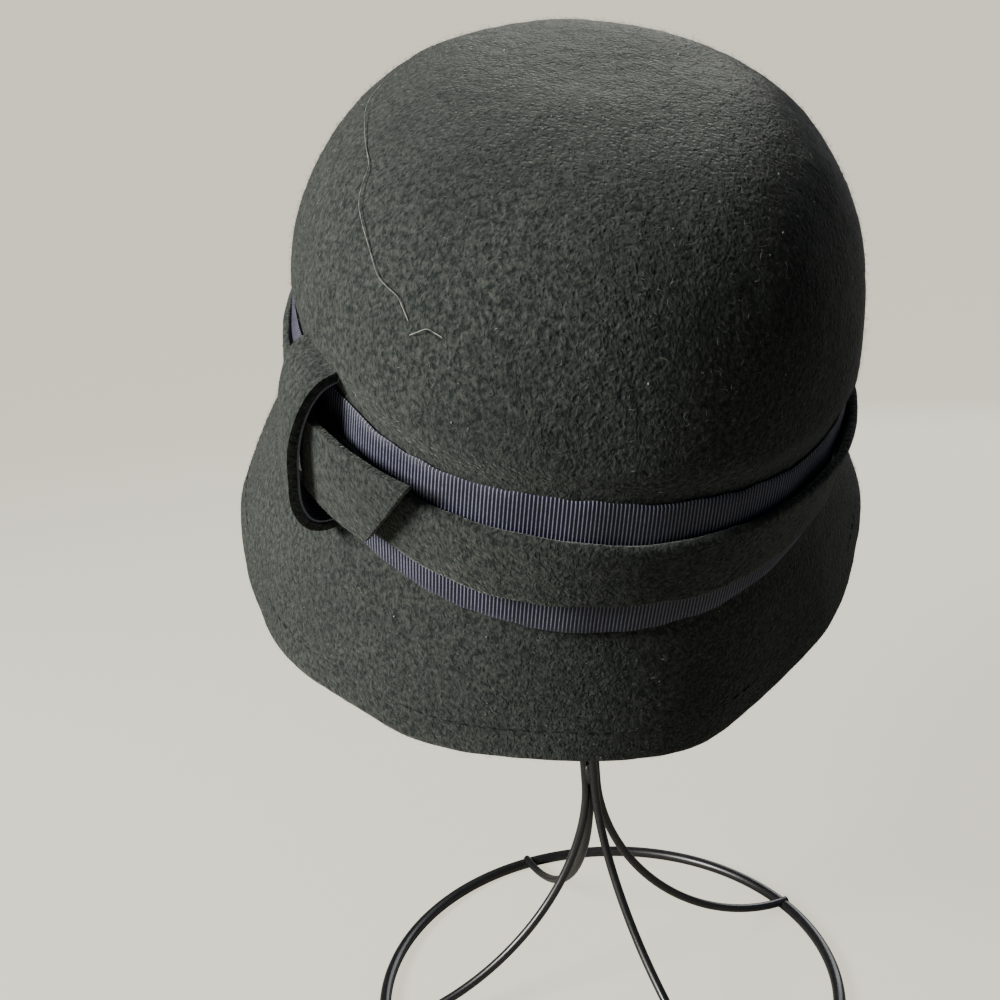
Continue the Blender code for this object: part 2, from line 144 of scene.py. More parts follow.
@dataclass(frozen=True)
class HatShape:
    """The blocked form that every piece of the hat follows."""

    felt: float = 0.0024
    ribbon: float = 0.0008
    gap: float = 0.0003
    half_width: float = 0.0845
    half_length: float = 0.1031
    crown_height: float = 0.1152
    taper: float = 0.018
    power_up: float = 3.59
    power_in: float = 3.17
    top_level: Level = Level(0.0478, 0.0054, -0.0072)
    top_dip: float = 0.0028
    top_dip_azimuth: float = -27.0
    top_dip_reach: float = 16.0
    waist_depth: float = 0.0026
    waist_ramp: float = 0.0100
    foot_level: Level = Level(0.0229, -0.0100, -0.0030)
    foot_back_drop: float = 0.0190
    foot_drops_from: float = 70.0
    break_below_ribbon: float = 0.0015
    stand_off_height: float = 0.0020
    stand_off_azimuth: float = 57.0
    stand_off_reach: float = 20.0
    brim_bow: float = 0.25
    dent_azimuth: float = 46.0
    dent_reach: float = 13.0
    dent_depth: float = 0.0032
    base: Vector = field(default_factory=lambda: Vector((0.0044, 0.0026, 0.2056)))
    lean_forward: float = 29.8
    lean_side: float = 6.1
    turn: float = -4.9
    trims: tuple[TrimRow, ...] = (
        TrimRow(-180, 0.0060, 0.0065),
        TrimRow(-60, 0.0090, 0.0085),
        TrimRow(-25, 0.0085, 0.0100),
        TrimRow(8, 0.0102, 0.0110),
        TrimRow(28, 0.0082, 0.0095),
        TrimRow(60, 0.0045, 0.0075),
        TrimRow(110, 0.0050, 0.0070),
        TrimRow(180, 0.0060, 0.0065),
    )
    brim: tuple[BrimRow, ...] = (
        BrimRow(-180, 0.0205, 0.0125),
        BrimRow(-150, 0.0225, 0.0130),
        BrimRow(-120, 0.0238, 0.0200),
        BrimRow(-90, 0.0234, 0.0300),
        BrimRow(-60, 0.0184, 0.0350),
        BrimRow(-30, 0.0124, 0.0284),
        BrimRow(0, 0.0091, 0.0248),
        BrimRow(30, 0.0101, 0.0288),
        BrimRow(60, 0.0142, 0.0262),
        BrimRow(90, 0.0186, 0.0150),
        BrimRow(120, 0.0205, 0.0100),
        BrimRow(150, 0.0212, 0.0115),
        BrimRow(180, 0.0205, 0.0125),
    )

    def scale(self, height: np.ndarray) -> np.ndarray:
        """How far in the crown stands at heights, against the headline."""
        part = np.clip(np.asarray(height, float) / self.crown_height, 0.0, 1.0)
        return (1 - self.taper * part) * (1 - part**self.power_up) ** (1 / self.power_in)

    def wall(self, azimuth: np.ndarray, height: np.ndarray, out: np.ndarray | float = 0.0) -> np.ndarray:
        """Points at a distance outside the crown's wall.

        Args:
            azimuth: Azimuths in degrees.
            height: Heights above the headline.
            out: Distances outside the wall.

        Returns:
            An array whose last axis holds x, y and z.
        """
        angle = np.radians(azimuth)
        scale = self.scale(height)
        away = out - self.waist(azimuth, height)
        x = (self.half_width * scale + away) * np.sin(angle)
        y = -(self.half_length * scale + away) * np.cos(angle)
        return np.stack(np.broadcast_arrays(x, y, np.asarray(height, float)), -1)

    def top(self, azimuth: np.ndarray) -> np.ndarray:
        """The ribbon's upper edge, with its dip before the loop."""
        dip = self.top_dip * swell(azimuth, self.top_dip_azimuth, self.top_dip_reach)
        return self.top_level.at(azimuth) - dip

    def waist(self, azimuth: np.ndarray, height: np.ndarray) -> np.ndarray:
        """How far the ribbon draws the wall in at heights."""
        return self.waist_depth * (1 - eased((height - self.top(azimuth)) / self.waist_ramp))

    def foot(self, azimuth: np.ndarray) -> np.ndarray:
        """The ribbon's lower edge, which comes down behind so that the ribbon keeps its width."""
        behind = (np.abs(wrapped(azimuth)) - self.foot_drops_from) / (180 - self.foot_drops_from)
        return self.foot_level.at(azimuth) - self.foot_back_drop * eased(behind)

    def break_height(self, azimuth: np.ndarray) -> np.ndarray:
        """Where the brim starts, just under the ribbon."""
        return self.foot(azimuth) - self.break_below_ribbon

    def band_top(self, azimuth: np.ndarray) -> np.ndarray:
        """The felt band's upper edge."""
        return self.top(azimuth) - read_round(self.trims, azimuth, "above")

    def band_foot(self, azimuth: np.ndarray) -> np.ndarray:
        """The felt band's lower edge."""
        return self.foot(azimuth) + read_round(self.trims, azimuth, "below")

    def flare(self, azimuth: np.ndarray) -> np.ndarray:
        """How far the brim's edge stands out, less the dent at one side."""
        dent = self.dent_depth * swell(azimuth, self.dent_azimuth, self.dent_reach)
        return read_round(self.brim, azimuth, "flare") + self.waist_depth - dent

    def brim_at(self, azimuth: np.ndarray, part: np.ndarray | float) -> np.ndarray:
        """Points on the brim's outer face.

        Args:
            azimuth: Azimuths in degrees.
            part: 0 at the break and 1 at the edge.

        Returns:
            An array whose last axis holds x, y and z.
        """
        start = self.break_height(azimuth)
        out = self.flare(azimuth) * part * (1 + self.brim_bow * (1 - part))
        height = start + part * (-read_round(self.brim, azimuth, "drop") - start)
        point = self.wall(azimuth, start, out)
        point[..., 2] = height
        return point

    def skin_out(self, azimuth: np.ndarray, height: np.ndarray) -> np.ndarray:
        """How far the brim stands out below the break; the crown's wall counts as none.

        Args:
            azimuth: Azimuths in degrees.
            height: Heights above the headline.

        Returns:
            Distances outside the crown's wall.
        """
        start = self.break_height(azimuth)
        part = np.maximum(start - height, 0.0) / (start + read_round(self.brim, azimuth, "drop"))
        edge = read_round(self.brim, azimuth, "flare") + self.waist_depth
        return edge * part * (1 + self.brim_bow * (1 - part))

    def stand_off(self, azimuth: np.ndarray) -> np.ndarray:
        """How far the felt band's upper edge stands off the ribbon."""
        return self.stand_off_height * swell(azimuth, self.stand_off_azimuth, self.stand_off_reach)

    def lean(self) -> np.ndarray:
        """The matrix that leans the upright hat onto the stand."""
        forward = Euler((math.radians(self.lean_forward), 0, 0)).to_matrix()
        side = Euler((0, math.radians(self.lean_side), 0)).to_matrix()
        return np.array(forward @ side @ Matrix.Rotation(math.radians(self.turn), 3, "Z"))

    def leaned(self, points: np.ndarray) -> np.ndarray:
        """Moves points from the upright hat to where it sits on the stand."""
        return points @ self.lean().T + np.array(self.base)

    def upright(self, points: np.ndarray) -> np.ndarray:
        """Moves points from where the hat sits back to the upright hat."""
        return (points - np.array(self.base)) @ self.lean()


HAT = HatShape()


def deselect_all() -> None:
    """Leaves object mode with nothing selected, so that an operator acts on the new piece alone."""
    if bpy.context.object and bpy.context.object.mode != "OBJECT":
        bpy.ops.object.mode_set(mode="OBJECT")
    bpy.ops.object.select_all(action="DESELECT")


def activate(piece: bpy.types.Object) -> None:
    """Selects one piece alone and makes it the active one.

    Args:
        piece: The piece.
    """
    deselect_all()
    piece.select_set(True)
    bpy.context.view_layer.objects.active = piece


def take_new(name: str) -> bpy.types.Object:
    """Names the object that an operator has just added.

    Args:
        name: Its new name, also its data's.

    Returns:
        The object.
    """
    made = bpy.context.object
    made.name = name
    made.data.name = name
    return made


def vertex_points(piece: bpy.types.Object) -> np.ndarray:
    """The piece's vertices as an array of points.

    Args:
        piece: The piece.

    Returns:
        Points, one to a row.
    """
    points = np.empty(len(piece.data.vertices) * 3)
    piece.data.vertices.foreach_get("co", points)
    return points.reshape(-1, 3)


def move_vertices(piece: bpy.types.Object, points: np.ndarray) -> None:
    """Puts the piece's vertices at new points."""
    piece.data.vertices.foreach_set("co", np.ascontiguousarray(points, dtype=np.float64).ravel())
    piece.data.update()


def in_edit_mode(piece: bpy.types.Object, *steps: Callable[[], object]) -> None:
    """Runs operators on the whole piece in edit mode, in turn.

    Args:
        piece: The piece.
        *steps: Calls that run one operator each.
    """
    activate(piece)
    bpy.ops.object.mode_set(mode="EDIT")
    bpy.ops.mesh.select_all(action="SELECT")
    for step in steps:
        step()
    bpy.ops.object.mode_set(mode="OBJECT")


def close_seams(piece: bpy.types.Object, within: float = 0.000002) -> None:
    """Merges doubled vertices and turns the faces outward.

    Args:
        piece: The piece.
        within: How close vertices must lie to be merged.
    """
    in_edit_mode(
        piece,
        lambda: bpy.ops.mesh.remove_doubles(threshold=within),
        lambda: bpy.ops.mesh.normals_make_consistent(inside=False),
    )


def shade(piece: bpy.types.Object, angle: float = 45.0) -> None:
    """Shades the piece smooth up to an angle in degrees."""
    activate(piece)
    bpy.ops.object.shade_smooth_by_angle(angle=math.radians(angle))


def apply_modifier(piece: bpy.types.Object, kind: str, **settings: object) -> None:
    """Adds a modifier with settings and applies it.

    Args:
        piece: The piece.
        kind: The modifier's type.
        **settings: Its properties.
    """
    activate(piece)
    added = piece.modifiers.new(kind.title(), kind)
    for name, value in settings.items():
        setattr(added, name, value)
    bpy.ops.object.modifier_apply(modifier=added.name)


def join(name: str, pieces: Sequence[bpy.types.Object]) -> bpy.types.Object:
    """Joins pieces into one and names it.

    Args:
        name: The new name.
        pieces: The pieces, at least one.

    Returns:
        The joined piece.
    """
    deselect_all()
    for piece in pieces:
        piece.select_set(True)
    bpy.context.view_layer.objects.active = pieces[0]
    if len(pieces) > 1:
        bpy.ops.object.join()
    return take_new(name)


def settle(piece: bpy.types.Object) -> bpy.types.Object:
    """Puts the piece's place into its mesh, so that its object sits at the origin.

    Args:
        piece: The piece.

    Returns:
        The same piece.
    """
    activate(piece)
    bpy.ops.object.transform_apply(location=True, rotation=True, scale=True)
    return piece


def roughened(
    points: np.ndarray, normals: np.ndarray, size: float, height: np.ndarray | float
) -> np.ndarray:
    """Moves points in and out by smooth noise.

    Args:
        points: The points, upright on the hat.
        normals: Their outward directions.
        size: How wide the noise's humps are.
        height: How high they are.

    Returns:
        The moved points, in the same order.
    """
    flat = points.reshape(-1, 3)
    waves = np.array([noise.noise(Vector(point) / size) for point in flat]).reshape(points.shape[:-1])
    return points + normals * (waves * height)[..., None]


def round_strip(name: str, around: int, section: Callable[[np.ndarray], np.ndarray]) -> bpy.types.Object:
    """Shapes a ring into a strip round the hat.

    Args:
        name: The piece's name.
        around: How many stations it has round the hat.
        section: Gives, for azimuths, the section's points from the outer face upward and round.

    Returns:
        The strip, leaned with the hat.
    """
    count = section(np.zeros(1)).shape[0]
    middle = 0.1
    deselect_all()
    bpy.ops.mesh.primitive_torus_add(
        major_segments=around,
        minor_segments=count,
        major_radius=middle,
        minor_radius=middle / 5,
        generate_uvs=True,
    )
    piece = take_new(name)
    start = vertex_points(piece)
    azimuth = np.degrees(np.arctan2(start[:, 0], -start[:, 1]))
    turn = np.arctan2(start[:, 2], np.hypot(start[:, 0], start[:, 1]) - middle)
    step = np.rint(turn / (2 * math.pi / count)).astype(int) % count
    points = np.empty_like(start)
    for index in range(count):
        here = step == index
        points[here] = section(azimuth[here])[index]
    move_vertices(piece, HAT.leaned(points))
    return piece


def sheet_grid(
    name: str, along: int, across: int, shape: Callable[[np.ndarray, np.ndarray], np.ndarray]
) -> bpy.types.Object:
    """Shapes a grid into a sheet on the hat.

    Args:
        name: The piece's name.
        along: How many squares it has round the hat.
        across: How many squares it has up the hat.
        shape: Gives the points, upright on the hat, for shares along and across.

    Returns:
        The sheet, leaned with the hat, its faces outward.
    """
    deselect_all()
    bpy.ops.mesh.primitive_grid_add(x_subdivisions=along, y_subdivisions=across, size=1.0, calc_uvs=True)
    piece = take_new(name)
    start = vertex_points(piece) + 0.5
    move_vertices(piece, HAT.leaned(shape(start[:, 0], start[:, 1])))
    return piece


def rod(name: str, points: Sequence[Vector], radius: float, sides: int = 12) -> bpy.types.Object:
    """Draws a round wire or thread through points.

    Args:
        name: The piece's name.
        points: The line that it follows, in the scene's frame.
        radius: Its radius.
        sides: How many faces it has round it; a multiple of four.

    Returns:
        The closed rod as a mesh.
    """
    deselect_all()
    bpy.ops.curve.primitive_nurbs_path_add()
    piece = take_new(name)
    curve = piece.data
    curve.splines.clear()
    line = curve.splines.new("POLY")
    line.points.add(len(points) - 1)
    for place, point in zip(line.points, points):
        place.co = (*point, 1.0)
    curve.bevel_depth = radius
    curve.bevel_resolution = sides // 4
    curve.use_fill_caps = True
    bpy.ops.object.convert(target="MESH")
    piece = take_new(name)
    close_seams(piece, radius * 0.01)
    return piece


def many(
    name: str, points: np.ndarray, faces: Sequence[tuple[int, ...]], size: int, count: int
) -> bpy.types.Object:
    """Makes one mesh of many copies of a small shape, each with its own points.

    Args:
        name: The piece's name.
        points: All points, copy after copy.
        faces: One copy's faces.
        size: How many points a copy has.
        count: How many copies there are.

    Returns:
        The piece.
    """
    data = bpy.data.meshes.new(name)
    every = [tuple(corner + copy * size for corner in face) for copy in range(count) for face in faces]
    data.from_pydata(points.tolist(), [], every)
    data.shade_smooth()
    piece = bpy.data.objects.new(name, data)
    bpy.context.collection.objects.link(piece)
    return piece


class NodeSketch:
    """Lays nodes in a tree and links them."""

    def __init__(self, tree: bpy.types.NodeTree) -> None:
        """Starts on a tree."""
        self.tree = tree

    def add(
        self, kind: str, settings: dict[str, object] | None = None, **inputs: object
    ) -> bpy.types.Node:
        """Adds a node.

        Args:
            kind: The node's type, without its ShaderNode prefix.
            settings: Properties of the node itself.
            **inputs: Values or links for its inputs, with underscores for spaces, or i0 to i2 by number.

        Returns:
            The node.
        """
        node = self.tree.nodes.new("ShaderNode" + kind)
        for name, value in (settings or {}).items():
            setattr(node, name, value)
        for name, value in inputs.items():
            key = int(name[1]) if name in ("i0", "i1", "i2") else name.replace("_", " ")
            self.set(node.inputs[key], value)
        return node

    def feed(self, node: bpy.types.Node, **inputs: object) -> None:
        """Links or sets a node's inputs, named with underscores for spaces."""
        for name, value in inputs.items():
            self.set(node.inputs[name.replace("_", " ")], value)

    def set(self, socket: bpy.types.NodeSocket, value: object) -> None:
        """Links a socket to another, or gives it a value.

        Args:
            socket: The input.
            value: An output to link it to, or a plain value.
        """
        if isinstance(value, bpy.types.NodeSocket):
            self.tree.links.new(value, socket)
        else:
            socket.default_value = value

    def math(self, operation: str, first: object, second: object = 0.0) -> NodeLink:
        """A sum, product or the like of two values."""
        return self.add("Math", {"operation": operation}, i0=first, i1=second).outputs[0]

    def noise(
        self, place: NodeLink, scale: object, detail: float = 2.0, roughness: float = 0.5
    ) -> NodeLink:
        """Fractal noise from 0 to 1."""
        node = self.add("TexNoise", Vector=place, Scale=scale, Detail=detail, Roughness=roughness)
        return node.outputs[0]

    def spread(
        self, value: object, low: float, high: float, to_low: float = 0.0, to_high: float = 1.0
    ) -> NodeLink:
        """Maps a range of values to another, held at its ends.

        Args:
            value: The value.
            low: Where the range starts.
            high: Where it ends.
            to_low: What its start becomes.
            to_high: What its end becomes.

        Returns:
            The mapped value.
        """
        node = self.add("MapRange", {"clamp": True}, Value=value, From_Min=low, From_Max=high)
        self.feed(node, To_Min=to_low, To_Max=to_high)
        return node.outputs[0]

    def mix(self, share: object, first: object, second: object) -> NodeLink:
        """Mixes two colours by a share.

        Args:
            share: 0 for the first and 1 for the second.
            first: A colour.
            second: Another.

        Returns:
            The mixed colour.
        """
        node = self.add("Mix", {"data_type": "RGBA"})
        self.set(node.inputs[0], share)
        self.set(node.inputs[6], first)
        self.set(node.inputs[7], second)
        return node.outputs[2]


def new_group(
    name: str, takes: dict[str, object], gives: dict[str, str]
) -> tuple[bpy.types.NodeTree, NodeSketch]:
    """Starts a shader node group.

    Args:
        name: The group's name.
        takes: Its inputs with their usual values: a number or a colour.
        gives: Its outputs with their socket types.

    Returns:
        The group and a sketch to fill it with.
    """
    tree = bpy.data.node_groups.new(name, "ShaderNodeTree")
    for label, value in takes.items():
        kind = "NodeSocketColor" if isinstance(value, tuple) else "NodeSocketFloat"
        tree.interface.new_socket(label, in_out="INPUT", socket_type=kind).default_value = value
    for label, kind in gives.items():
        tree.interface.new_socket(label, in_out="OUTPUT", socket_type=kind)
    sketch = NodeSketch(tree)
    tree.nodes.new("NodeGroupInput")
    tree.nodes.new("NodeGroupOutput")
    return tree, sketch


class FeltMatGroup:
    """The matted wool of felt: clumps, pits and pale fibres, as a colour and a height."""

    @staticmethod
    def build() -> bpy.types.NodeTree:
        """Builds the group once.

        Returns:
            The group.
        """
        name = "matted_wool"
        if name in bpy.data.node_groups:
            return bpy.data.node_groups[name]
        takes = {
            "Ground": (0.02, 0.02, 0.02, 1.0),
            "Fleck": (0.08, 0.08, 0.08, 1.0),
            "Clump Scale": 520.0,
            "Fibre Scale": 1500.0,
        }
        gives = {"Color": "NodeSocketColor", "Height": "NodeSocketFloat", "Roughness": "NodeSocketFloat"}
        tree, sketch = new_group(name, takes, gives)
        given = tree.nodes["Group Input"].outputs
        place = sketch.add("TexCoord").outputs["Object"]
        warp = sketch.add("TexNoise", Vector=place, Scale=260.0, Detail=1.0)
        shift = sketch.add("VectorMath", {"operation": "SCALE"}, i0=warp.outputs[1], Scale=0.0016)
        swirled = sketch.add("VectorMath", {"operation": "ADD"}, i0=place, i1=shift.outputs[0]).outputs[0]
        clump = sketch.noise(swirled, given["Clump Scale"], 3.0, 0.62)
        stretch = sketch.add("Mapping", Vector=swirled, Scale=(1.0, 1.0, 0.55))
        fibre = sketch.noise(stretch.outputs[0], given["Fibre Scale"], 2.0, 0.6)
        cells = sketch.add("TexVoronoi", {"feature": "F1"}, Vector=swirled, Scale=given["Clump Scale"])
        pit = sketch.spread(cells.outputs["Distance"], 0.05, 0.45)
        broad = sketch.noise(place, 34.0, 3.0)
        coarse, fine = sketch.math("MULTIPLY", clump, 0.62), sketch.math("MULTIPLY", fibre, 0.38)
        tone = sketch.math("ADD", coarse, fine)
        share = sketch.spread(tone, 0.40, 0.64)
        worn = sketch.math("MULTIPLY", share, sketch.spread(broad, 0.3, 0.7, 0.75, 1.15))
        colour = sketch.mix(worn, given["Ground"], given["Fleck"])
        height = sketch.math("ADD", sketch.math("MULTIPLY", tone, 0.8), sketch.math("MULTIPLY", pit, 0.2))
        rough = sketch.spread(tone, 0.3, 0.7, 1.0, 0.86)
        sketch.feed(tree.nodes["Group Output"], Color=colour, Height=height, Roughness=rough)
        return tree


class RibGroup:
    """The cross ribs of ribbon, from the piece's UV map: rib tops painted pale as a highlight, gaps
    between them painted dark as shade.
    """

    @staticmethod
    def build() -> bpy.types.NodeTree:
        """Builds the group once.

        Returns:
            The group.
        """
        name = "woven_ribs"
        if name in bpy.data.node_groups:
            return bpy.data.node_groups[name]
        # The gap colour is the navy painted down to shade between the ribs; the top colour is the navy
        # painted up to a highlight on the rib tops.
        takes = {
            "Gap": (0.01, 0.01, 0.05, 1.0),
            "Top": (0.1, 0.1, 0.18, 1.0),
            "Ribs": 540.0,
            "Phase": 0.0,
        }
        tree, sketch = new_group(name, takes, {"Color": "NodeSocketColor", "Height": "NodeSocketFloat"})
        given = tree.nodes["Group Input"].outputs
        uv = sketch.add("UVMap").outputs[0]
        parts = sketch.add("SeparateXYZ", Vector=uv)
        counted = sketch.math("MULTIPLY", parts.outputs[0], given["Ribs"])
        counted = sketch.math("ADD", counted, given["Phase"])
        wave = sketch.math("COSINE", sketch.math("MULTIPLY", counted, 2 * math.pi))
        rib = sketch.spread(wave, -0.05, 1.0)
        place = sketch.add("TexCoord").outputs["Object"]
        yarn = sketch.noise(place, 1900.0, 2.0, 0.6)
        shine = sketch.noise(place, 60.0, 2.0)
        share = sketch.math("MULTIPLY", rib, sketch.spread(yarn, 0.3, 0.7, 0.55, 1.1))
        share = sketch.math("MULTIPLY", share, sketch.spread(shine, 0.3, 0.7, 0.8, 1.1))
        # Painted light: rib tops take the painted highlight colour and the gaps the painted shade colour;
        # the shine noise makes the painted highlight stronger or weaker in broad patches.
        colour = sketch.mix(share, given["Gap"], given["Top"])
        height = sketch.math("ADD", sketch.math("MULTIPLY", rib, 0.7), sketch.math("MULTIPLY", yarn, 0.3))
        sketch.feed(tree.nodes["Group Output"], Color=colour, Height=height)
        return tree


@dataclass(frozen=True)
class Finish:
    """What the finishes share: a name, a slot and the shader's plain values."""

    name: str
    slot: Slot

    def start(self, **values: object) -> tuple[bpy.types.Material, NodeSketch, bpy.types.Node]:
        """Starts the material.

        Args:
            **values: Plain values for the shader's sockets, with underscores for spaces.

        Returns:
            The material, a sketch of its tree and its shader.
        """
        made = bpy.data.materials.new(self.name)
        made.use_nodes = True
        shader = made.node_tree.nodes["Principled BSDF"]
        for label, value in values.items():
            shader.inputs[label.replace("_", " ")].default_value = value
        return made, NodeSketch(made.node_tree), shader


@dataclass(frozen=True)
class FeltFinish(Finish):
    """Matted black wool with a soft pale bloom at its edges."""

    ground: Colour = (0.014, 0.019, 0.018, 1.0)
    fleck: Colour = (0.070, 0.075, 0.068, 1.0)
    sheen: float = 0.38
    clump_scale: float = 700.0
    bump: float = 0.0009

    def build(self) -> bpy.types.Material:
        """Builds the material.

        Returns:
            The material.
        """
        made, sketch, shader = self.start(
            Sheen_Weight=self.sheen,
            Sheen_Roughness=0.42,
            Sheen_Tint=(0.62, 0.64, 0.60, 1.0),
            Specular_IOR_Level=0.12,
        )
        wool = sketch.add("Group", {"node_tree": FeltMatGroup.build()})
        sketch.feed(wool, Ground=self.ground, Fleck=self.fleck, Clump_Scale=self.clump_scale)
        relief = sketch.add("Bump", Strength=1.0, Distance=self.bump, Height=wool.outputs["Height"])
        colour, rough = wool.outputs["Color"], wool.outputs["Roughness"]
        sketch.feed(shader, Base_Color=colour, Roughness=rough, Normal=relief.outputs[0])
        return made


@dataclass(frozen=True)
class RibbonFinish(Finish):
    """Navy ribbon with fine cross ribs, painted pale on the rib tops as a highlight and dark in the gaps
    as shade.
    """

    # gap is the navy painted down to shade between the ribs; top is the navy painted up to a highlight on
    # the rib tops.
    gap: Colour = (0.002, 0.002, 0.016, 1.0)
    top: Colour = (0.25, 0.26, 0.33, 1.0)
    ribs: float = 540.0
    phase: float = 0.0
    bump: float = 0.00025

    def build(self) -> bpy.types.Material:
        """Builds the material.

        Returns:
            The material.
        """
        made, sketch, shader = self.start(
            Roughness=0.55,
            Sheen_Weight=0.25,
            Sheen_Roughness=0.35,
            Sheen_Tint=(0.6, 0.62, 0.8, 1.0),
            Specular_IOR_Level=0.35,
        )
        weave = sketch.add("Group", {"node_tree": RibGroup.build()})
        sketch.feed(weave, Gap=self.gap, Top=self.top, Ribs=self.ribs, Phase=self.phase)
        relief = sketch.add("Bump", Strength=0.8, Distance=self.bump, Height=weave.outputs["Height"])
        sketch.feed(shader, Base_Color=weave.outputs["Color"], Normal=relief.outputs[0])
        return made


@dataclass(frozen=True)
class WireFinish(Finish):
    """Satin black coating on steel wire, a little uneven."""

    colour: Colour = (0.012, 0.012, 0.013, 1.0)
    worn: Colour = (0.032, 0.031, 0.030, 1.0)

    def build(self) -> bpy.types.Material:
        """Builds the material.

        Returns:
            The material.
        """
        made, sketch, shader = self.start(Specular_IOR_Level=0.6, Coat_Weight=0.35, Coat_Roughness=0.22)
        place = sketch.add("TexCoord").outputs["Object"]
        speck = sketch.noise(place, 900.0, 3.0, 0.6)
        patch = sketch.noise(place, 70.0, 2.0)
        colour = sketch.mix(sketch.spread(speck, 0.55, 0.75), self.colour, self.worn)
        relief = sketch.add("Bump", Strength=0.35, Distance=0.0001, Height=speck)
        rough = sketch.spread(patch, 0.3, 0.7, 0.26, 0.44)
        sketch.feed(shader, Base_Color=colour, Roughness=rough, Normal=relief.outputs[0])
        return made


@dataclass(frozen=True)
class FibreFinish(Finish):
    """Loose fibres, which run from the felt's tone to a pale one from place to place."""

    dark: Colour = (0.03, 0.033, 0.031, 1.0)
    pale: Colour = (0.20, 0.21, 0.19, 1.0)
    scale: float = 420.0

    def build(self) -> bpy.types.Material:
        """Builds the material.

        Returns:
            The material.
        """
        made, sketch, shader = self.start(Roughness=0.8, Specular_IOR_Level=0.15, Sheen_Weight=0.2)
        place = sketch.add("TexCoord").outputs["Object"]
        share = sketch.spread(sketch.noise(place, self.scale, 1.0), 0.45, 0.75)
        sketch.feed(shader, Base_Color=sketch.mix(share, self.dark, self.pale))
        return made


def dress(piece: bpy.types.Object, material: bpy.types.Material) -> None:
    """Gives a piece its material, and lets it ride with the object.

    Args:
        piece: The piece.
        material: The material built from it.
    """
    piece.data.materials.clear()
    piece.data.materials.append(material)
    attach(piece, "root")
    LOG.info("%s: %d faces", piece.name, len(piece.data.polygons))


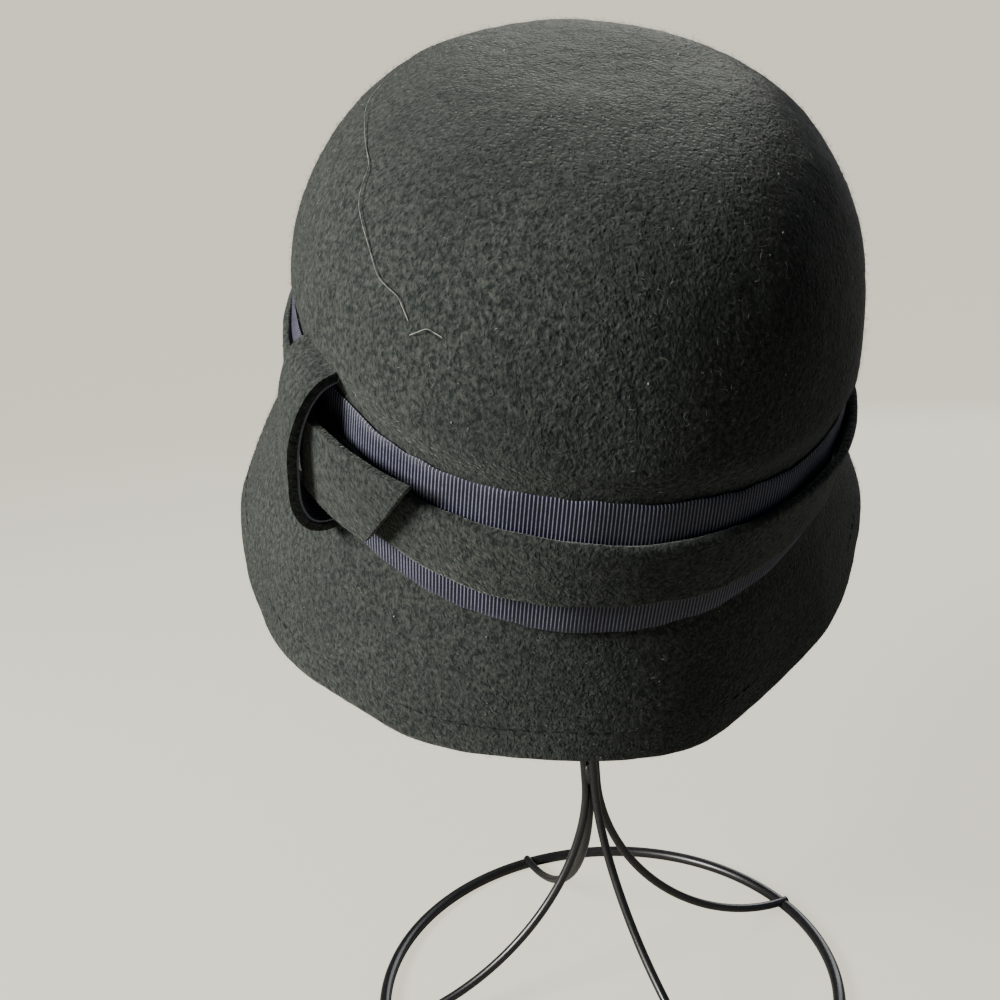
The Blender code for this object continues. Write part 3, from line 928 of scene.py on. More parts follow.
@dataclass
class FeltShell:
    """Crown and brim: one felt shell with a turned-up hem, and the stitches that hold the hem."""

    segments: int = 288
    crown_rings: int = 66
    wall_rings: int = 14
    brim_rings: int = 34
    hem_rings: int = 10
    edge_rings: int = 8
    inner_step: int = 3
    hem_width: float = 0.0095
    hem_thickness: float = 0.0044
    hem_step: float = 0.0012
    broad_unevenness: float = 0.0009
    broad_hump: float = 0.030
    fine_unevenness: float = 0.00022
    fine_hump: float = 0.0045
    free_above_ribbon: float = 0.012
    free_below_ribbon: float = 0.006
    brim_share: float = 0.7
    stitch_pitch: float = 0.0042
    stitch_length: float = 0.0026
    stitch_radius: float = 0.00022
    stitch_inset: float = 0.0088

    def crown_shares(self) -> np.ndarray:
        """Shares of slope that space the crown's rings evenly along its profile.

        Returns:
            Shares from 0 to 1, one to a ring.
        """
        share = np.linspace(0.0, 1.0, 2000)
        lowest = math.asin((HAT.top_level.mean / HAT.crown_height) ** (HAT.power_up / 2))
        slope = math.pi / 2 + (lowest - math.pi / 2) * share
        height = HAT.crown_height * np.sin(slope) ** (2 / HAT.power_up)
        reach = HAT.half_length * HAT.scale(height)
        length = np.concatenate([[0.0], np.cumsum(np.hypot(np.diff(reach), np.diff(height)))])
        return np.interp(np.linspace(0.0, length[-1], self.crown_rings + 1), length, share)

    def outer_rings(self, azimuth: np.ndarray) -> np.ndarray:
        """The outer face, ring by ring from the tip to the edge.

        Args:
            azimuth: The stations round the hat.

        Returns:
            Points by ring and station.
        """
        rings: list[np.ndarray] = []
        lowest = np.arcsin((HAT.top(azimuth) / HAT.crown_height) ** (HAT.power_up / 2))
        for share in self.crown_shares():
            slope = math.pi / 2 + (lowest - math.pi / 2) * share
            rings.append(HAT.wall(azimuth, HAT.crown_height * np.sin(slope) ** (2 / HAT.power_up)))
        top, bottom = HAT.top(azimuth), HAT.break_height(azimuth)
        for step in range(1, self.wall_rings + 1):
            rings.append(HAT.wall(azimuth, top + (bottom - top) * step / self.wall_rings))
        length = np.linalg.norm(HAT.brim_at(azimuth, 1.0) - HAT.brim_at(azimuth, 0.0), axis=-1)
        hem = 1 - self.hem_width / length
        for step in range(1, self.brim_rings + 1):
            rings.append(HAT.brim_at(azimuth, hem * step / self.brim_rings))
        for step in range(1, self.hem_rings + 1):
            rings.append(HAT.brim_at(azimuth, hem + (1 - hem) * step / self.hem_rings))
        return np.array(rings)

    @staticmethod
    def normals(rings: np.ndarray) -> np.ndarray:
        """Outward directions of a grid of points by ring and station.

        Args:
            rings: Points by ring and station.

        Returns:
            Unit directions in the same order.
        """
        across = np.roll(rings, -1, axis=1) - np.roll(rings, 1, axis=1)
        down = np.empty_like(rings)
        down[1:-1] = rings[2:] - rings[:-2]
        down[0] = rings[1] - rings[0]
        down[-1] = rings[-1] - rings[-2]
        normal = np.cross(down, across)
        normal[0] = (0.0, 0.0, 1.0)
        return normal / np.maximum(np.linalg.norm(normal, axis=-1, keepdims=True), 1e-12)

    def uneven(self, rings: np.ndarray, normals: np.ndarray, azimuth: np.ndarray) -> np.ndarray:
        """Gives the felt its soft humps, and leaves the wall under the ribbon as it is.

        Args:
            rings: Points by ring and station.
            normals: Their outward directions.
            azimuth: The stations round the hat.

        Returns:
            The moved points.
        """
        top = HAT.top(azimuth)
        bottom = HAT.break_height(azimuth)
        height = rings[..., 2]
        free = eased((height - top) / self.free_above_ribbon)
        free = free + eased((bottom - height) / self.free_below_ribbon) * self.brim_share
        moved = roughened(rings, normals, self.broad_hump, self.broad_unevenness * free)
        moved = roughened(moved, normals, self.fine_hump, self.fine_unevenness * free)
        moved[0] = moved[0].mean(axis=0)
        return moved

    def profile(self, azimuth: np.ndarray) -> np.ndarray:
        """All rings of the closed shell, from the outer tip round the edge to the inner tip.

        Args:
            azimuth: The stations round the hat.

        Returns:
            Points by ring and station.
        """
        smooth = self.outer_rings(azimuth)
        normals = self.normals(smooth)
        outer = self.uneven(smooth, normals, azimuth)
        rings = [*outer]
        edge, edge_normal = outer[-1], normals[-1]
        down = outer[-1] - outer[-2]
        down /= np.linalg.norm(down, axis=-1, keepdims=True)
        half = self.hem_thickness / 2
        centre = edge - edge_normal * half
        for step in range(1, self.edge_rings + 1):
            turn = math.pi * step / (self.edge_rings + 1)
            rings.append(centre + (edge_normal * math.cos(turn) + down * math.sin(turn)) * half)
        last = len(outer) - 1
        hem_ring = last - self.hem_rings
        for ring in range(last, hem_ring - 1, -2):
            rings.append(outer[ring] - normals[ring] * self.hem_thickness)
        up = outer[hem_ring - 1] - outer[hem_ring]
        up /= np.linalg.norm(up, axis=-1, keepdims=True)
        rings.append(outer[hem_ring] + up * self.hem_step - normals[hem_ring] * HAT.felt)
        for ring in range(hem_ring - 3, 0, -self.inner_step):
            rings.append(smooth[ring] - normals[ring] * HAT.felt)
        tip = np.repeat([[0.0, 0.0, HAT.crown_height - HAT.felt]], len(azimuth), axis=0)
        return np.array([*rings, tip])

    def build_body(self) -> bpy.types.Object:
        """Blocks a sphere into the shell: its upper pole is the outer tip, its lower one the inner.

        Returns:
            The shell, leaned.
        """
        stations = np.arange(self.segments) * 360.0 / self.segments - 180.0
        rings = self.profile(stations)
        count = len(rings) - 1
        deselect_all()
        bpy.ops.mesh.primitive_uv_sphere_add(
            segments=self.segments, ring_count=count, radius=1.0, calc_uvs=True
        )
        piece = take_new("felt_shell")
        start = vertex_points(piece)
        ring = np.rint(np.arccos(np.clip(start[:, 2], -1, 1)) / math.pi * count).astype(int)
        azimuth = np.degrees(np.arctan2(start[:, 0], -start[:, 1]))
        station = np.rint((azimuth + 180.0) / 360.0 * self.segments).astype(int) % self.segments
        move_vertices(piece, HAT.leaned(rings[ring, station]))
        shade(piece, 80.0)
        return piece

    def stitch_line(self) -> tuple[np.ndarray, np.ndarray, np.ndarray]:
        """Where the hem's stitches lie.

        Returns:
            Their middles, their directions along the edge and their outward normals, upright.
        """
        azimuth = np.linspace(-180.0, 180.0, 2881)[:-1]
        length = np.linalg.norm(HAT.brim_at(azimuth, 1.0) - HAT.brim_at(azimuth, 0.0), axis=-1)
        part = 1 - self.stitch_inset / length
        line = HAT.brim_at(azimuth, part)
        above = HAT.brim_at(azimuth, part - 0.02)
        gone = np.concatenate([[0.0], np.cumsum(np.linalg.norm(np.diff(line, axis=0), axis=-1))])
        pick = np.searchsorted(gone, np.arange(0.0, gone[-1] - self.stitch_pitch / 2, self.stitch_pitch))
        along = np.roll(line, -1, axis=0) - line
        normal = np.cross(line - above, along)
        along /= np.linalg.norm(along, axis=-1, keepdims=True)
        normal /= np.linalg.norm(normal, axis=-1, keepdims=True)
        return line[pick], along[pick], normal[pick]

    def build_stitches(self) -> bpy.types.Object:
        """Models one stitch and copies it along the hem.

        Returns:
            All stitches as one piece.
        """
        deselect_all()
        bpy.ops.mesh.primitive_cylinder_add(
            vertices=6,
            radius=self.stitch_radius,
            depth=self.stitch_length,
            end_fill_type="TRIFAN",
            rotation=(0, math.pi / 2, 0),
        )
        pattern = take_new("hem_stitch_pattern")
        settle(pattern)
        apply_modifier(pattern, "BEVEL", width=self.stitch_radius * 0.6, segments=1, limit_method="ANGLE")
        shape = vertex_points(pattern)
        faces = [tuple(face.vertices) for face in pattern.data.polygons]
        bpy.data.objects.remove(pattern, do_unlink=True)
        places, along, normal = self.stitch_line()
        side = np.cross(normal, along)
        spread = np.random.default_rng(SEED).normal(0.0, 1.0, (len(places), 2))
        axis = along + side * (spread[:, :1] * 0.05)
        shapes = (
            shape[None, :, :1] * axis[:, None]
            + shape[None, :, 1:2] * side[:, None]
            + shape[None, :, 2:] * 0.7 * normal[:, None]
        )
        sunk = places + normal * (0.00002 + 0.00003 * spread[:, 1:])
        points = HAT.leaned((shapes + sunk[:, None]).reshape(-1, 3))
        return many("hem_stitches", points, faces, len(shape), len(places))

    def dress_all(self, felt: FeltFinish, thread: FibreFinish) -> bpy.types.Object:
        """Builds and dresses the shell and its stitches.

        Args:
            felt: The shell's finish.
            thread: The stitches' finish.

        Returns:
            The shell.
        """
        body = self.build_body()
        dress(body, felt.build())
        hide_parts("felt_body")
        dress(self.build_stitches(), thread.build())
        return body


@dataclass
class RibbonBand:
    """The wide ribbon round the crown: a real rib for every cross cord, and a loop edge."""

    ribs: int = 540
    steps_in_rib: int = 4
    rows: int = 16
    rib_height: float = 0.00034
    loop_height: float = 0.00060
    edge_wave: float = 0.00015
    edge_ripple: float = 0.0001
    flat_length: float = 0.62
    flat_width: float = 0.037

    def section(self, azimuth: np.ndarray) -> np.ndarray:
        """The ribbon's section, up its outer face, over and down its inner face.

        Args:
            azimuth: Azimuths in degrees.

        Returns:
            Points by step of the section and azimuth.
        """
        phase = np.radians(azimuth) * self.ribs
        rib = (0.5 + 0.5 * np.cos(phase)) ** 0.9
        loop = self.loop_height * np.abs(np.cos(phase / 4)) ** 0.7 * (0.75 + 0.25 * np.sin(phase / 11))
        angle = np.radians(azimuth)
        wave = self.edge_wave * np.sin(angle * 23) + self.edge_ripple * np.sin(angle * 61)
        foot = HAT.foot(azimuth) + wave
        top = HAT.top(azimuth) + wave
        half = HAT.ribbon / 2
        rings = []
        for row in range(self.rows + 1):
            share = row / self.rows
            height = foot + half + (top - foot - 2 * half) * share
            height = height + (loop if row == self.rows else 0.0) - (loop if row == 0 else 0.0)
            thick = HAT.ribbon + self.rib_height * rib
            rings.append(HAT.wall(azimuth, height, HAT.gap + thick - self.rib_height * 0.5))
        rings.append(HAT.wall(azimuth, top + loop, HAT.gap + half))
        rings.append(HAT.wall(azimuth, top - half, HAT.gap))
        rings.append(HAT.wall(azimuth, foot + half, HAT.gap))
        rings.append(HAT.wall(azimuth, foot - loop, HAT.gap + half))
        return np.array(rings)

    def dress_all(self, finish: RibbonFinish) -> None:
        """Args:
            finish: Its finish.
        """
        piece = round_strip("ribbon", self.ribs * self.steps_in_rib, self.section)
        shade(piece, 70.0)
        dress(piece, finish.build())
        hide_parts("ribbon_band")


@dataclass
class FeltBand:
    """The narrower felt band over the ribbon, whose top edge stands off at one side."""

    stations: int = 720
    rows: int = 14
    edge_rows: int = 5
    middle_share: float = 0.35
    unevenness: float = 0.00022
    hump_size: float = 0.006
    edge_wander: float = 0.00035
    edge_ripple: float = 0.00022
    flat_length: float = 0.62
    flat_width: float = 0.0185

    def section(self, azimuth: np.ndarray) -> np.ndarray:
        """The band's section with round edges, up its outer face and down its inner face.

        Args:
            azimuth: Azimuths in degrees.

        Returns:
            Points by step of the section and azimuth.
        """
        seat = HAT.gap + HAT.ribbon + HAT.gap
        half = HAT.felt / 2
        angle = np.radians(azimuth)
        wander = self.edge_wander * np.sin(angle * 9 + 0.6) + self.edge_ripple * np.sin(angle * 31)
        foot, top = HAT.band_foot(azimuth) + wander, HAT.band_top(azimuth) + wander * 0.6
        lift = HAT.stand_off(azimuth)

        def lean(height: np.ndarray) -> np.ndarray:
            """How far the band leans away at a height."""
            share = np.clip((height - foot) / (top - foot), 0.0, 1.0)
            return lift * np.interp(share, (0.0, 0.5, 1.0), (0.0, self.middle_share, 1.0))

        rings = []
        for row in range(self.rows + 1):
            height = foot + half + (top - foot - 2 * half) * row / self.rows
            rings.append(HAT.wall(azimuth, height, seat + lean(height) + HAT.felt))
        for step in range(1, self.edge_rows):
            turn = math.pi * step / self.edge_rows
            height = top - half + half * math.sin(turn)
            rings.append(HAT.wall(azimuth, height, seat + lean(height) + half + half * math.cos(turn)))
        for row in range(3, -1, -1):
            height = foot + half + (top - foot - 2 * half) * row / 3
            rings.append(HAT.wall(azimuth, height, seat + lean(height)))
        for step in range(1, self.edge_rows):
            turn = math.pi * step / self.edge_rows
            height = foot + half - half * math.sin(turn)
            rings.append(HAT.wall(azimuth, height, seat + half - half * math.cos(turn)))
        grid = np.array(rings)
        outward = HAT.wall(azimuth, foot, 1.0) - HAT.wall(azimuth, foot, 0.0)
        free = np.zeros(len(rings))
        free[: self.rows + self.edge_rows] = 1.0
        height = (self.unevenness * free)[:, None]
        return roughened(grid, np.broadcast_to(outward, grid.shape), self.hump_size, height)

    def dress_all(self, finish: FeltFinish) -> None:
        """Args:
            finish: Its finish.
        """
        piece = round_strip("felt_round_band", self.stations, self.section)
        shade(piece, 80.0)
        dress(piece, finish.build())
        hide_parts("felt_band")


@dataclass
class Keeper:
    """The felt loop over the bands, its ribbon lining, and the felt tab that it holds."""

    front: float = -48.0
    back: float = -60.0
    top: float = 0.0598
    foot: float = 0.0165
    bulge_front: float = 0.0128
    bulge_back: float = 0.0070
    height_of_bulge: float = 0.40
    squareness: float = 2.6
    lining: float = 0.0006
    tab_root: float = -55.0
    tab_end_top: float = -27.0
    tab_end_foot: float = -35.0
    tab_top: float = 0.0505
    tab_foot: float = 0.0280
    lift_at_loop: float = 0.0062
    lift_at_end: float = 0.0058
    rim: float = 0.0007
    unevenness: float = 0.00035
    hump_size: float = 0.009
    tab_hump_size: float = 0.008
    tab_bow: float = 0.0006

    def line(self, share: np.ndarray, bulge: np.ndarray, moved: float) -> tuple[np.ndarray, np.ndarray]:
        """The loop's line from its foot over its bulge to its top.

        Args:
            share: 0 at the foot and 1 at the top.
            bulge: How far out the line stands at its middle.
            moved: How far the line lies outside the loop's inner face.

        Returns:
            Distances out and heights.
        """
        middle = self.foot + (self.top - self.foot) * self.height_of_bulge
        angle = np.pi * share - np.pi / 2
        reach = np.where(angle > 0, self.top - middle, middle - self.foot)
        swing = np.abs(np.sin(angle)) ** (2 / self.squareness) * np.sign(angle)
        out = HAT.gap + (bulge - HAT.gap) * np.maximum(np.cos(angle), 0.0) ** (2 / self.squareness)
        return out + moved * np.cos(angle), middle + reach * swing + moved * np.sin(angle)

    def thickened(self, piece: bpy.types.Object, thick: float) -> bpy.types.Object:
        """Gives a sheet its thickness, outward, and rounds its rims.

        Args:
            piece: The sheet.
            thick: Its thickness.

        Returns:
            The same piece.
        """
        rim = min(self.rim, thick * 0.3)
        apply_modifier(piece, "SOLIDIFY", thickness=thick, offset=1.0, use_even_offset=True)
        apply_modifier(piece, "BEVEL", width=rim, segments=3, limit_method="ANGLE", angle_limit=1.0)
        shade(piece, 60.0)
        return piece

    def strap(self, name: str, thick: float, moved: float, inset: float) -> bpy.types.Object:
        """A strap along the loop's line.

        Args:
            name: The piece's name.
            thick: Its thickness, added outward.
            moved: How far its inner face lies outside the loop's inner face.
            inset: How many degrees narrower it is at each side.

        Returns:
            The strap with rounded rims.
        """

        def shape(along: np.ndarray, across: np.ndarray) -> np.ndarray:
            """Points of the strap's inner face.

            Args:
                along: Shares round the hat.
                across: Shares up the hat.

            Returns:
                The points, upright.
            """
            azimuth = self.back + inset + (self.front - self.back - 2 * inset) * along
            bulge = self.bulge_back + (self.bulge_front - self.bulge_back) * along
            out, height = self.line(across, bulge, moved)
            clear = np.maximum(out, HAT.skin_out(azimuth, height) + HAT.gap)
            points = HAT.wall(azimuth, height, clear)
            outward = HAT.wall(azimuth, height, clear + 1.0) - points
            middle = (np.sin(across * np.pi) * thick / HAT.felt)[..., None]
            return roughened(points, outward * middle, self.hump_size, self.unevenness)

        return self.thickened(sheet_grid(name, 22, 72, shape), thick)

    def tab_lift(self, share: np.ndarray) -> np.ndarray:
        """How far the tab's inner face stands off the crown, from its root to its end.

        Args:
            share: 0 at the root and 1 at the end.

        Returns:
            Distances outside the crown's wall.
        """
        seat = HAT.gap + HAT.ribbon + HAT.gap + HAT.felt + HAT.gap
        at_loop = (self.front - self.tab_root) / (self.tab_end_top - self.tab_root)
        climb = seat + (self.lift_at_loop - seat) * eased(share / at_loop)
        rest = (share - at_loop) / (1 - at_loop)
        run = self.lift_at_loop + (self.lift_at_end - self.lift_at_loop) * rest
        return np.where(share < at_loop, climb, run)

    def tab(self) -> bpy.types.Object:
        """The tab: it comes out of the loop and ends in a slanting cut.

        Returns:
            The tab, leaned.
        """

        def shape(along: np.ndarray, across: np.ndarray) -> np.ndarray:
            """Points of the tab's inner face.

            Args:
                along: Shares from root to end.
                across: Shares up the hat.

            Returns:
                The points, upright.
            """
            end = self.tab_end_foot + (self.tab_end_top - self.tab_end_foot) * across
            bow = self.tab_bow * np.sin(across * np.pi) * np.sin(along * np.pi)
            height = self.tab_foot + (self.tab_top - self.tab_foot) * across
            azimuth = self.tab_root + (end - self.tab_root) * along
            points = HAT.wall(azimuth, height, self.tab_lift(along) + bow)
            outward = HAT.wall(azimuth, height, 1.0) - HAT.wall(azimuth, height, 0.0)
            return roughened(points, outward, self.tab_hump_size, self.unevenness * eased(along * 2))

        return self.thickened(sheet_grid("felt_tail", 60, 34, shape), HAT.felt)

    def dress_all(self, felt: FeltFinish, ribbon: RibbonFinish) -> None:
        """Args:
            felt: The finish of loop and tab.
            ribbon: The lining's finish.
        """
        wool = felt.build()
        loop = self.strap("felt_keeper", HAT.felt, 0.0, 0.0)
        dress(loop, wool)
        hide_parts("felt_loop")
        lining = self.strap("keeper_lining", self.lining, -HAT.gap - self.lining, 0.15)
        dress(lining, ribbon.build())
        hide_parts("loop_lining")
        tab = self.tab()
        dress(tab, wool)
        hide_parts("felt_tab")


@dataclass
class LooseFibres:
    """The fuzz on the felt, the pale specks caught in it, and the stray threads on the crown."""

    nap_count: int = 27000
    curl_count: int = 2600
    trim_count: int = 4200
    speck_count: int = 120
    thread_radius: float = 0.00011
    long_thread: tuple[ThreadPoint, ...] = (
        ThreadPoint(-94, 0.1066),
        ThreadPoint(-84, 0.1048),
        ThreadPoint(-74, 0.1036),
        ThreadPoint(-60, 0.1020),
        ThreadPoint(-55, 0.0968),
        ThreadPoint(-48, 0.0925),
        ThreadPoint(-42, 0.0886),
        ThreadPoint(-36, 0.0876),
        ThreadPoint(-33, 0.0838),
    )
    short_thread: tuple[ThreadPoint, ...] = (
        ThreadPoint(-32, 0.0818),
        ThreadPoint(-29, 0.0846),
        ThreadPoint(-26, 0.0836),
    )

    @staticmethod
    def hair_faces() -> list[tuple[int, int, int]]:
        """One bent hair: three corners in its middle and a point at each end."""
        return [(0, 2, 1), (0, 3, 2), (0, 1, 3), (4, 1, 2), (4, 2, 3), (4, 3, 1)]

    def hairs(
        self,
        name: str,
        roots: np.ndarray,
        normals: np.ndarray,
        length: tuple[float, float],
        width: float,
        rise: float,
        bend: float,
        seed: int,
    ) -> bpy.types.Object:
        """Grows hairs on a surface.

        Args:
            name: The piece's name.
            roots: Points on the surface.
            normals: The surface's outward directions there.
            length: The shortest and the longest hair.
            width: How thick a hair is in its middle.
            rise: How steeply hairs stand, against lying flat.
            bend: How far a hair's middle is bent aside, against its length.
            seed: Starts the random numbers.

        Returns:
            The hairs as one piece.
        """
        dice = np.random.default_rng(seed)
        count = len(roots)
        lie = np.cross(normals, dice.normal(size=(count, 3)))
        lie /= np.linalg.norm(lie, axis=-1, keepdims=True)
        side = np.cross(normals, lie)
        long = (length[0] + (length[1] - length[0]) * dice.random(count) ** 2)[:, None]
        stand = (rise * dice.random(count))[:, None]
        aside = side * bend * dice.normal(size=(count, 1))
        middle = roots + (lie * 0.5 + normals * stand * 0.6 + aside) * long
        aside = side * bend * 0.6 * dice.normal(size=(count, 1))
        tip = roots + (lie * 0.9 + normals * stand + aside) * long
        root = roots - normals * width
        corners = []
        for turn in (0.0, 2.0944, 4.1888):
            corners.append(middle + (side * math.cos(turn) + normals * math.sin(turn)) * width / 2)
        points = np.stack([root, *corners, tip], 1).reshape(-1, 3)
        return many(name, points, self.hair_faces(), 5, count)

    @staticmethod
    def triangles(piece: bpy.types.Object) -> np.ndarray:
        """A piece's faces as triangles, in the same order however its faces are numbered.

        Args:
            piece: The piece.

        Returns:
            Corners by triangle.
        """
        data = piece.data
        points = vertex_points(piece)
        rank = np.empty(len(points), dtype=np.int64)
        rank[np.lexsort(points.T)] = np.arange(len(points))
        corner = np.empty(len(data.loops), dtype=np.int32)
        data.loops.foreach_get("vertex_index", corner)
        start = np.empty(len(data.polygons), dtype=np.int32)
        data.polygons.foreach_get("loop_start", start)
        total = np.empty_like(start)
        data.polygons.foreach_get("loop_total", total)
        found = []
        for size in np.unique(total):
            ring = corner[start[total == size][:, None] + np.arange(size)]
            first = rank[ring].argmin(axis=1)[:, None]
            ring = np.take_along_axis(ring, (first + np.arange(size)) % size, axis=1)
            found += [ring[:, [0, step, step + 1]] for step in range(1, size - 1)]
        spots = points[np.concatenate(found)]
        return spots[np.lexsort(spots.mean(axis=1).T)]

    @staticmethod
    def scatter(
        piece: bpy.types.Object,
        count: int,
        seed: int,
        keep: Callable[[np.ndarray, np.ndarray], np.ndarray],
    ) -> tuple[np.ndarray, np.ndarray]:
        """Picks random points on a piece.

        Args:
            piece: The piece.
            count: How many points to pick.
            seed: Starts the random numbers.
            keep: Says from middles and normals which faces may carry points.

        Returns:
            The points and the outward directions there.
        """
        dice = np.random.default_rng(seed)
        spots = LooseFibres.triangles(piece)
        cross = np.cross(spots[:, 1] - spots[:, 0], spots[:, 2] - spots[:, 0])
        size = np.linalg.norm(cross, axis=-1)
        normal = cross / np.maximum(size, 1e-15)[:, None]
        weight = size * keep(spots.mean(axis=1), normal)
        pick = dice.choice(len(spots), size=count, p=weight / weight.sum())
        first, second = dice.random(count), dice.random(count)
        over = first + second > 1
        first[over], second[over] = 1 - first[over], 1 - second[over]
        base, one, other = spots[pick, 0], spots[pick, 1], spots[pick, 2]
        points = base + (one - base) * first[:, None] + (other - base) * second[:, None]
        return points, normal[pick]

    @staticmethod
    def outside(middles: np.ndarray, normals: np.ndarray) -> np.ndarray:
        """Marks the faces on the outside of the shell that no trim covers.

        Args:
            middles: The faces' middles, leaned.
            normals: Their outward directions.

        Returns:
            1 for each free outer face, 0 for the others.
        """
        upright, facing = HAT.upright(middles), normals @ HAT.lean()
        azimuth = np.degrees(np.arctan2(upright[:, 0] / HAT.half_width, -upright[:, 1] / HAT.half_length))
        outward = (upright[:, :2] * facing[:, :2]).sum(axis=1) > 0
        outward |= (upright[:, 2] > 0.08) & (facing[:, 2] > 0.3)
        free = (upright[:, 2] > HAT.top(azimuth) + 0.001) | (upright[:, 2] < HAT.foot(azimuth) - 0.0015)
        return (outward & free).astype(float)

    @staticmethod
    def facing_out(middles: np.ndarray, normals: np.ndarray) -> np.ndarray:
        """Weighs a trim's faces by how far they look away from the hat."""
        return ((middles - np.array(HAT.base)) * normals).sum(axis=1).clip(0.0, 0.02)

    def thread(self, name: str, line: Sequence[ThreadPoint], radius: float) -> bpy.types.Object:
        """Lays a thread over the crown through a line of points.

        Args:
            name: The piece's name.
            line: The points.
            radius: The thread's radius.

        Returns:
            The thread.
        """
        azimuth = np.array([point.azimuth for point in line], float)
        height = np.array([point.height for point in line])
        stops = np.arange(len(line))
        fine = np.linspace(0, len(line) - 1, 14 * (len(line) - 1) + 1)
        weights = np.array([0.25, 0.5, 0.25])
        bearing, rise = np.interp(fine, stops, azimuth), np.interp(fine, stops, height)
        for _ in range(8):
            bearing[1:-1] = np.convolve(bearing, weights, "valid")
            rise[1:-1] = np.convolve(rise, weights, "valid")
        above = 0.0009 + 0.0004 * np.sin(fine * 2.1)
        points = HAT.leaned(HAT.wall(bearing, rise, above))
        return rod(name, [Vector(point) for point in points], radius, 4)

    def specks(self, roots: np.ndarray, normals: np.ndarray) -> bpy.types.Object:
        """Models one speck of fluff and copies it over the felt.

        Args:
            roots: Where the specks lie.
            normals: The surface's outward directions there.

        Returns:
            All specks as one piece.
        """
        dice = np.random.default_rng(SEED + 9)
        deselect_all()
        bpy.ops.mesh.primitive_ico_sphere_add(subdivisions=1, radius=1.0)
        pattern = take_new("speck_pattern")
        shape = vertex_points(pattern)
        faces = [tuple(face.vertices) for face in pattern.data.polygons]
        bpy.data.objects.remove(pattern, do_unlink=True)
        sizes = 0.00010 + 0.00022 * dice.random((len(roots), 1, 1)) ** 2
        wobble = 1 + 0.35 * dice.normal(size=(len(roots), len(shape), 3))
        points = (roots + normals * 0.0002)[:, None] + shape[None] * wobble * sizes
        return many("fluff_specks", points.reshape(-1, 3), faces, len(shape), len(roots))

    def dress_all(self, shell: bpy.types.Object, fuzz: FibreFinish, lint: FibreFinish) -> None:
        """Grows and dresses all loose fibres.

        Args:
            shell: The felt shell.
            fuzz: The nap's finish.
            lint: The finish of curls, specks and threads.
        """
        soft, pale = fuzz.build(), lint.build()
        roots, normals = self.scatter(shell, self.nap_count, SEED, self.outside)
        nap = self.hairs("felt_nap", roots, normals, (0.0008, 0.0027), 0.00006, 0.8, 0.18, SEED + 1)
        dress(nap, soft)
        roots, normals = self.scatter(shell, self.curl_count, SEED + 2, self.outside)
        curls = self.hairs("pale_curls", roots, normals, (0.0008, 0.0034), 0.00008, 0.35, 0.30, SEED + 3)
        dress(curls, pale)
        roots, normals = self.scatter(shell, self.speck_count, SEED + 4, self.outside)
        dress(self.specks(roots, normals), pale)
        for name, share in (("felt_round_band", 0.62), ("felt_keeper", 0.18), ("felt_tail", 0.20)):
            count = int(self.trim_count * share)
            roots, normals = self.scatter(bpy.data.objects[name], count, SEED + 5, self.facing_out)
            length, seed = (0.0005, 0.0016), SEED + 6
            piece = self.hairs(f"{name}_nap", roots, normals, length, 0.00006, 0.6, 0.16, seed)
            dress(piece, soft)
        for name, line in (("long", self.long_thread), ("short", self.short_thread)):
            dress(self.thread(f"{name}_stray_thread", line, self.thread_radius), pale)


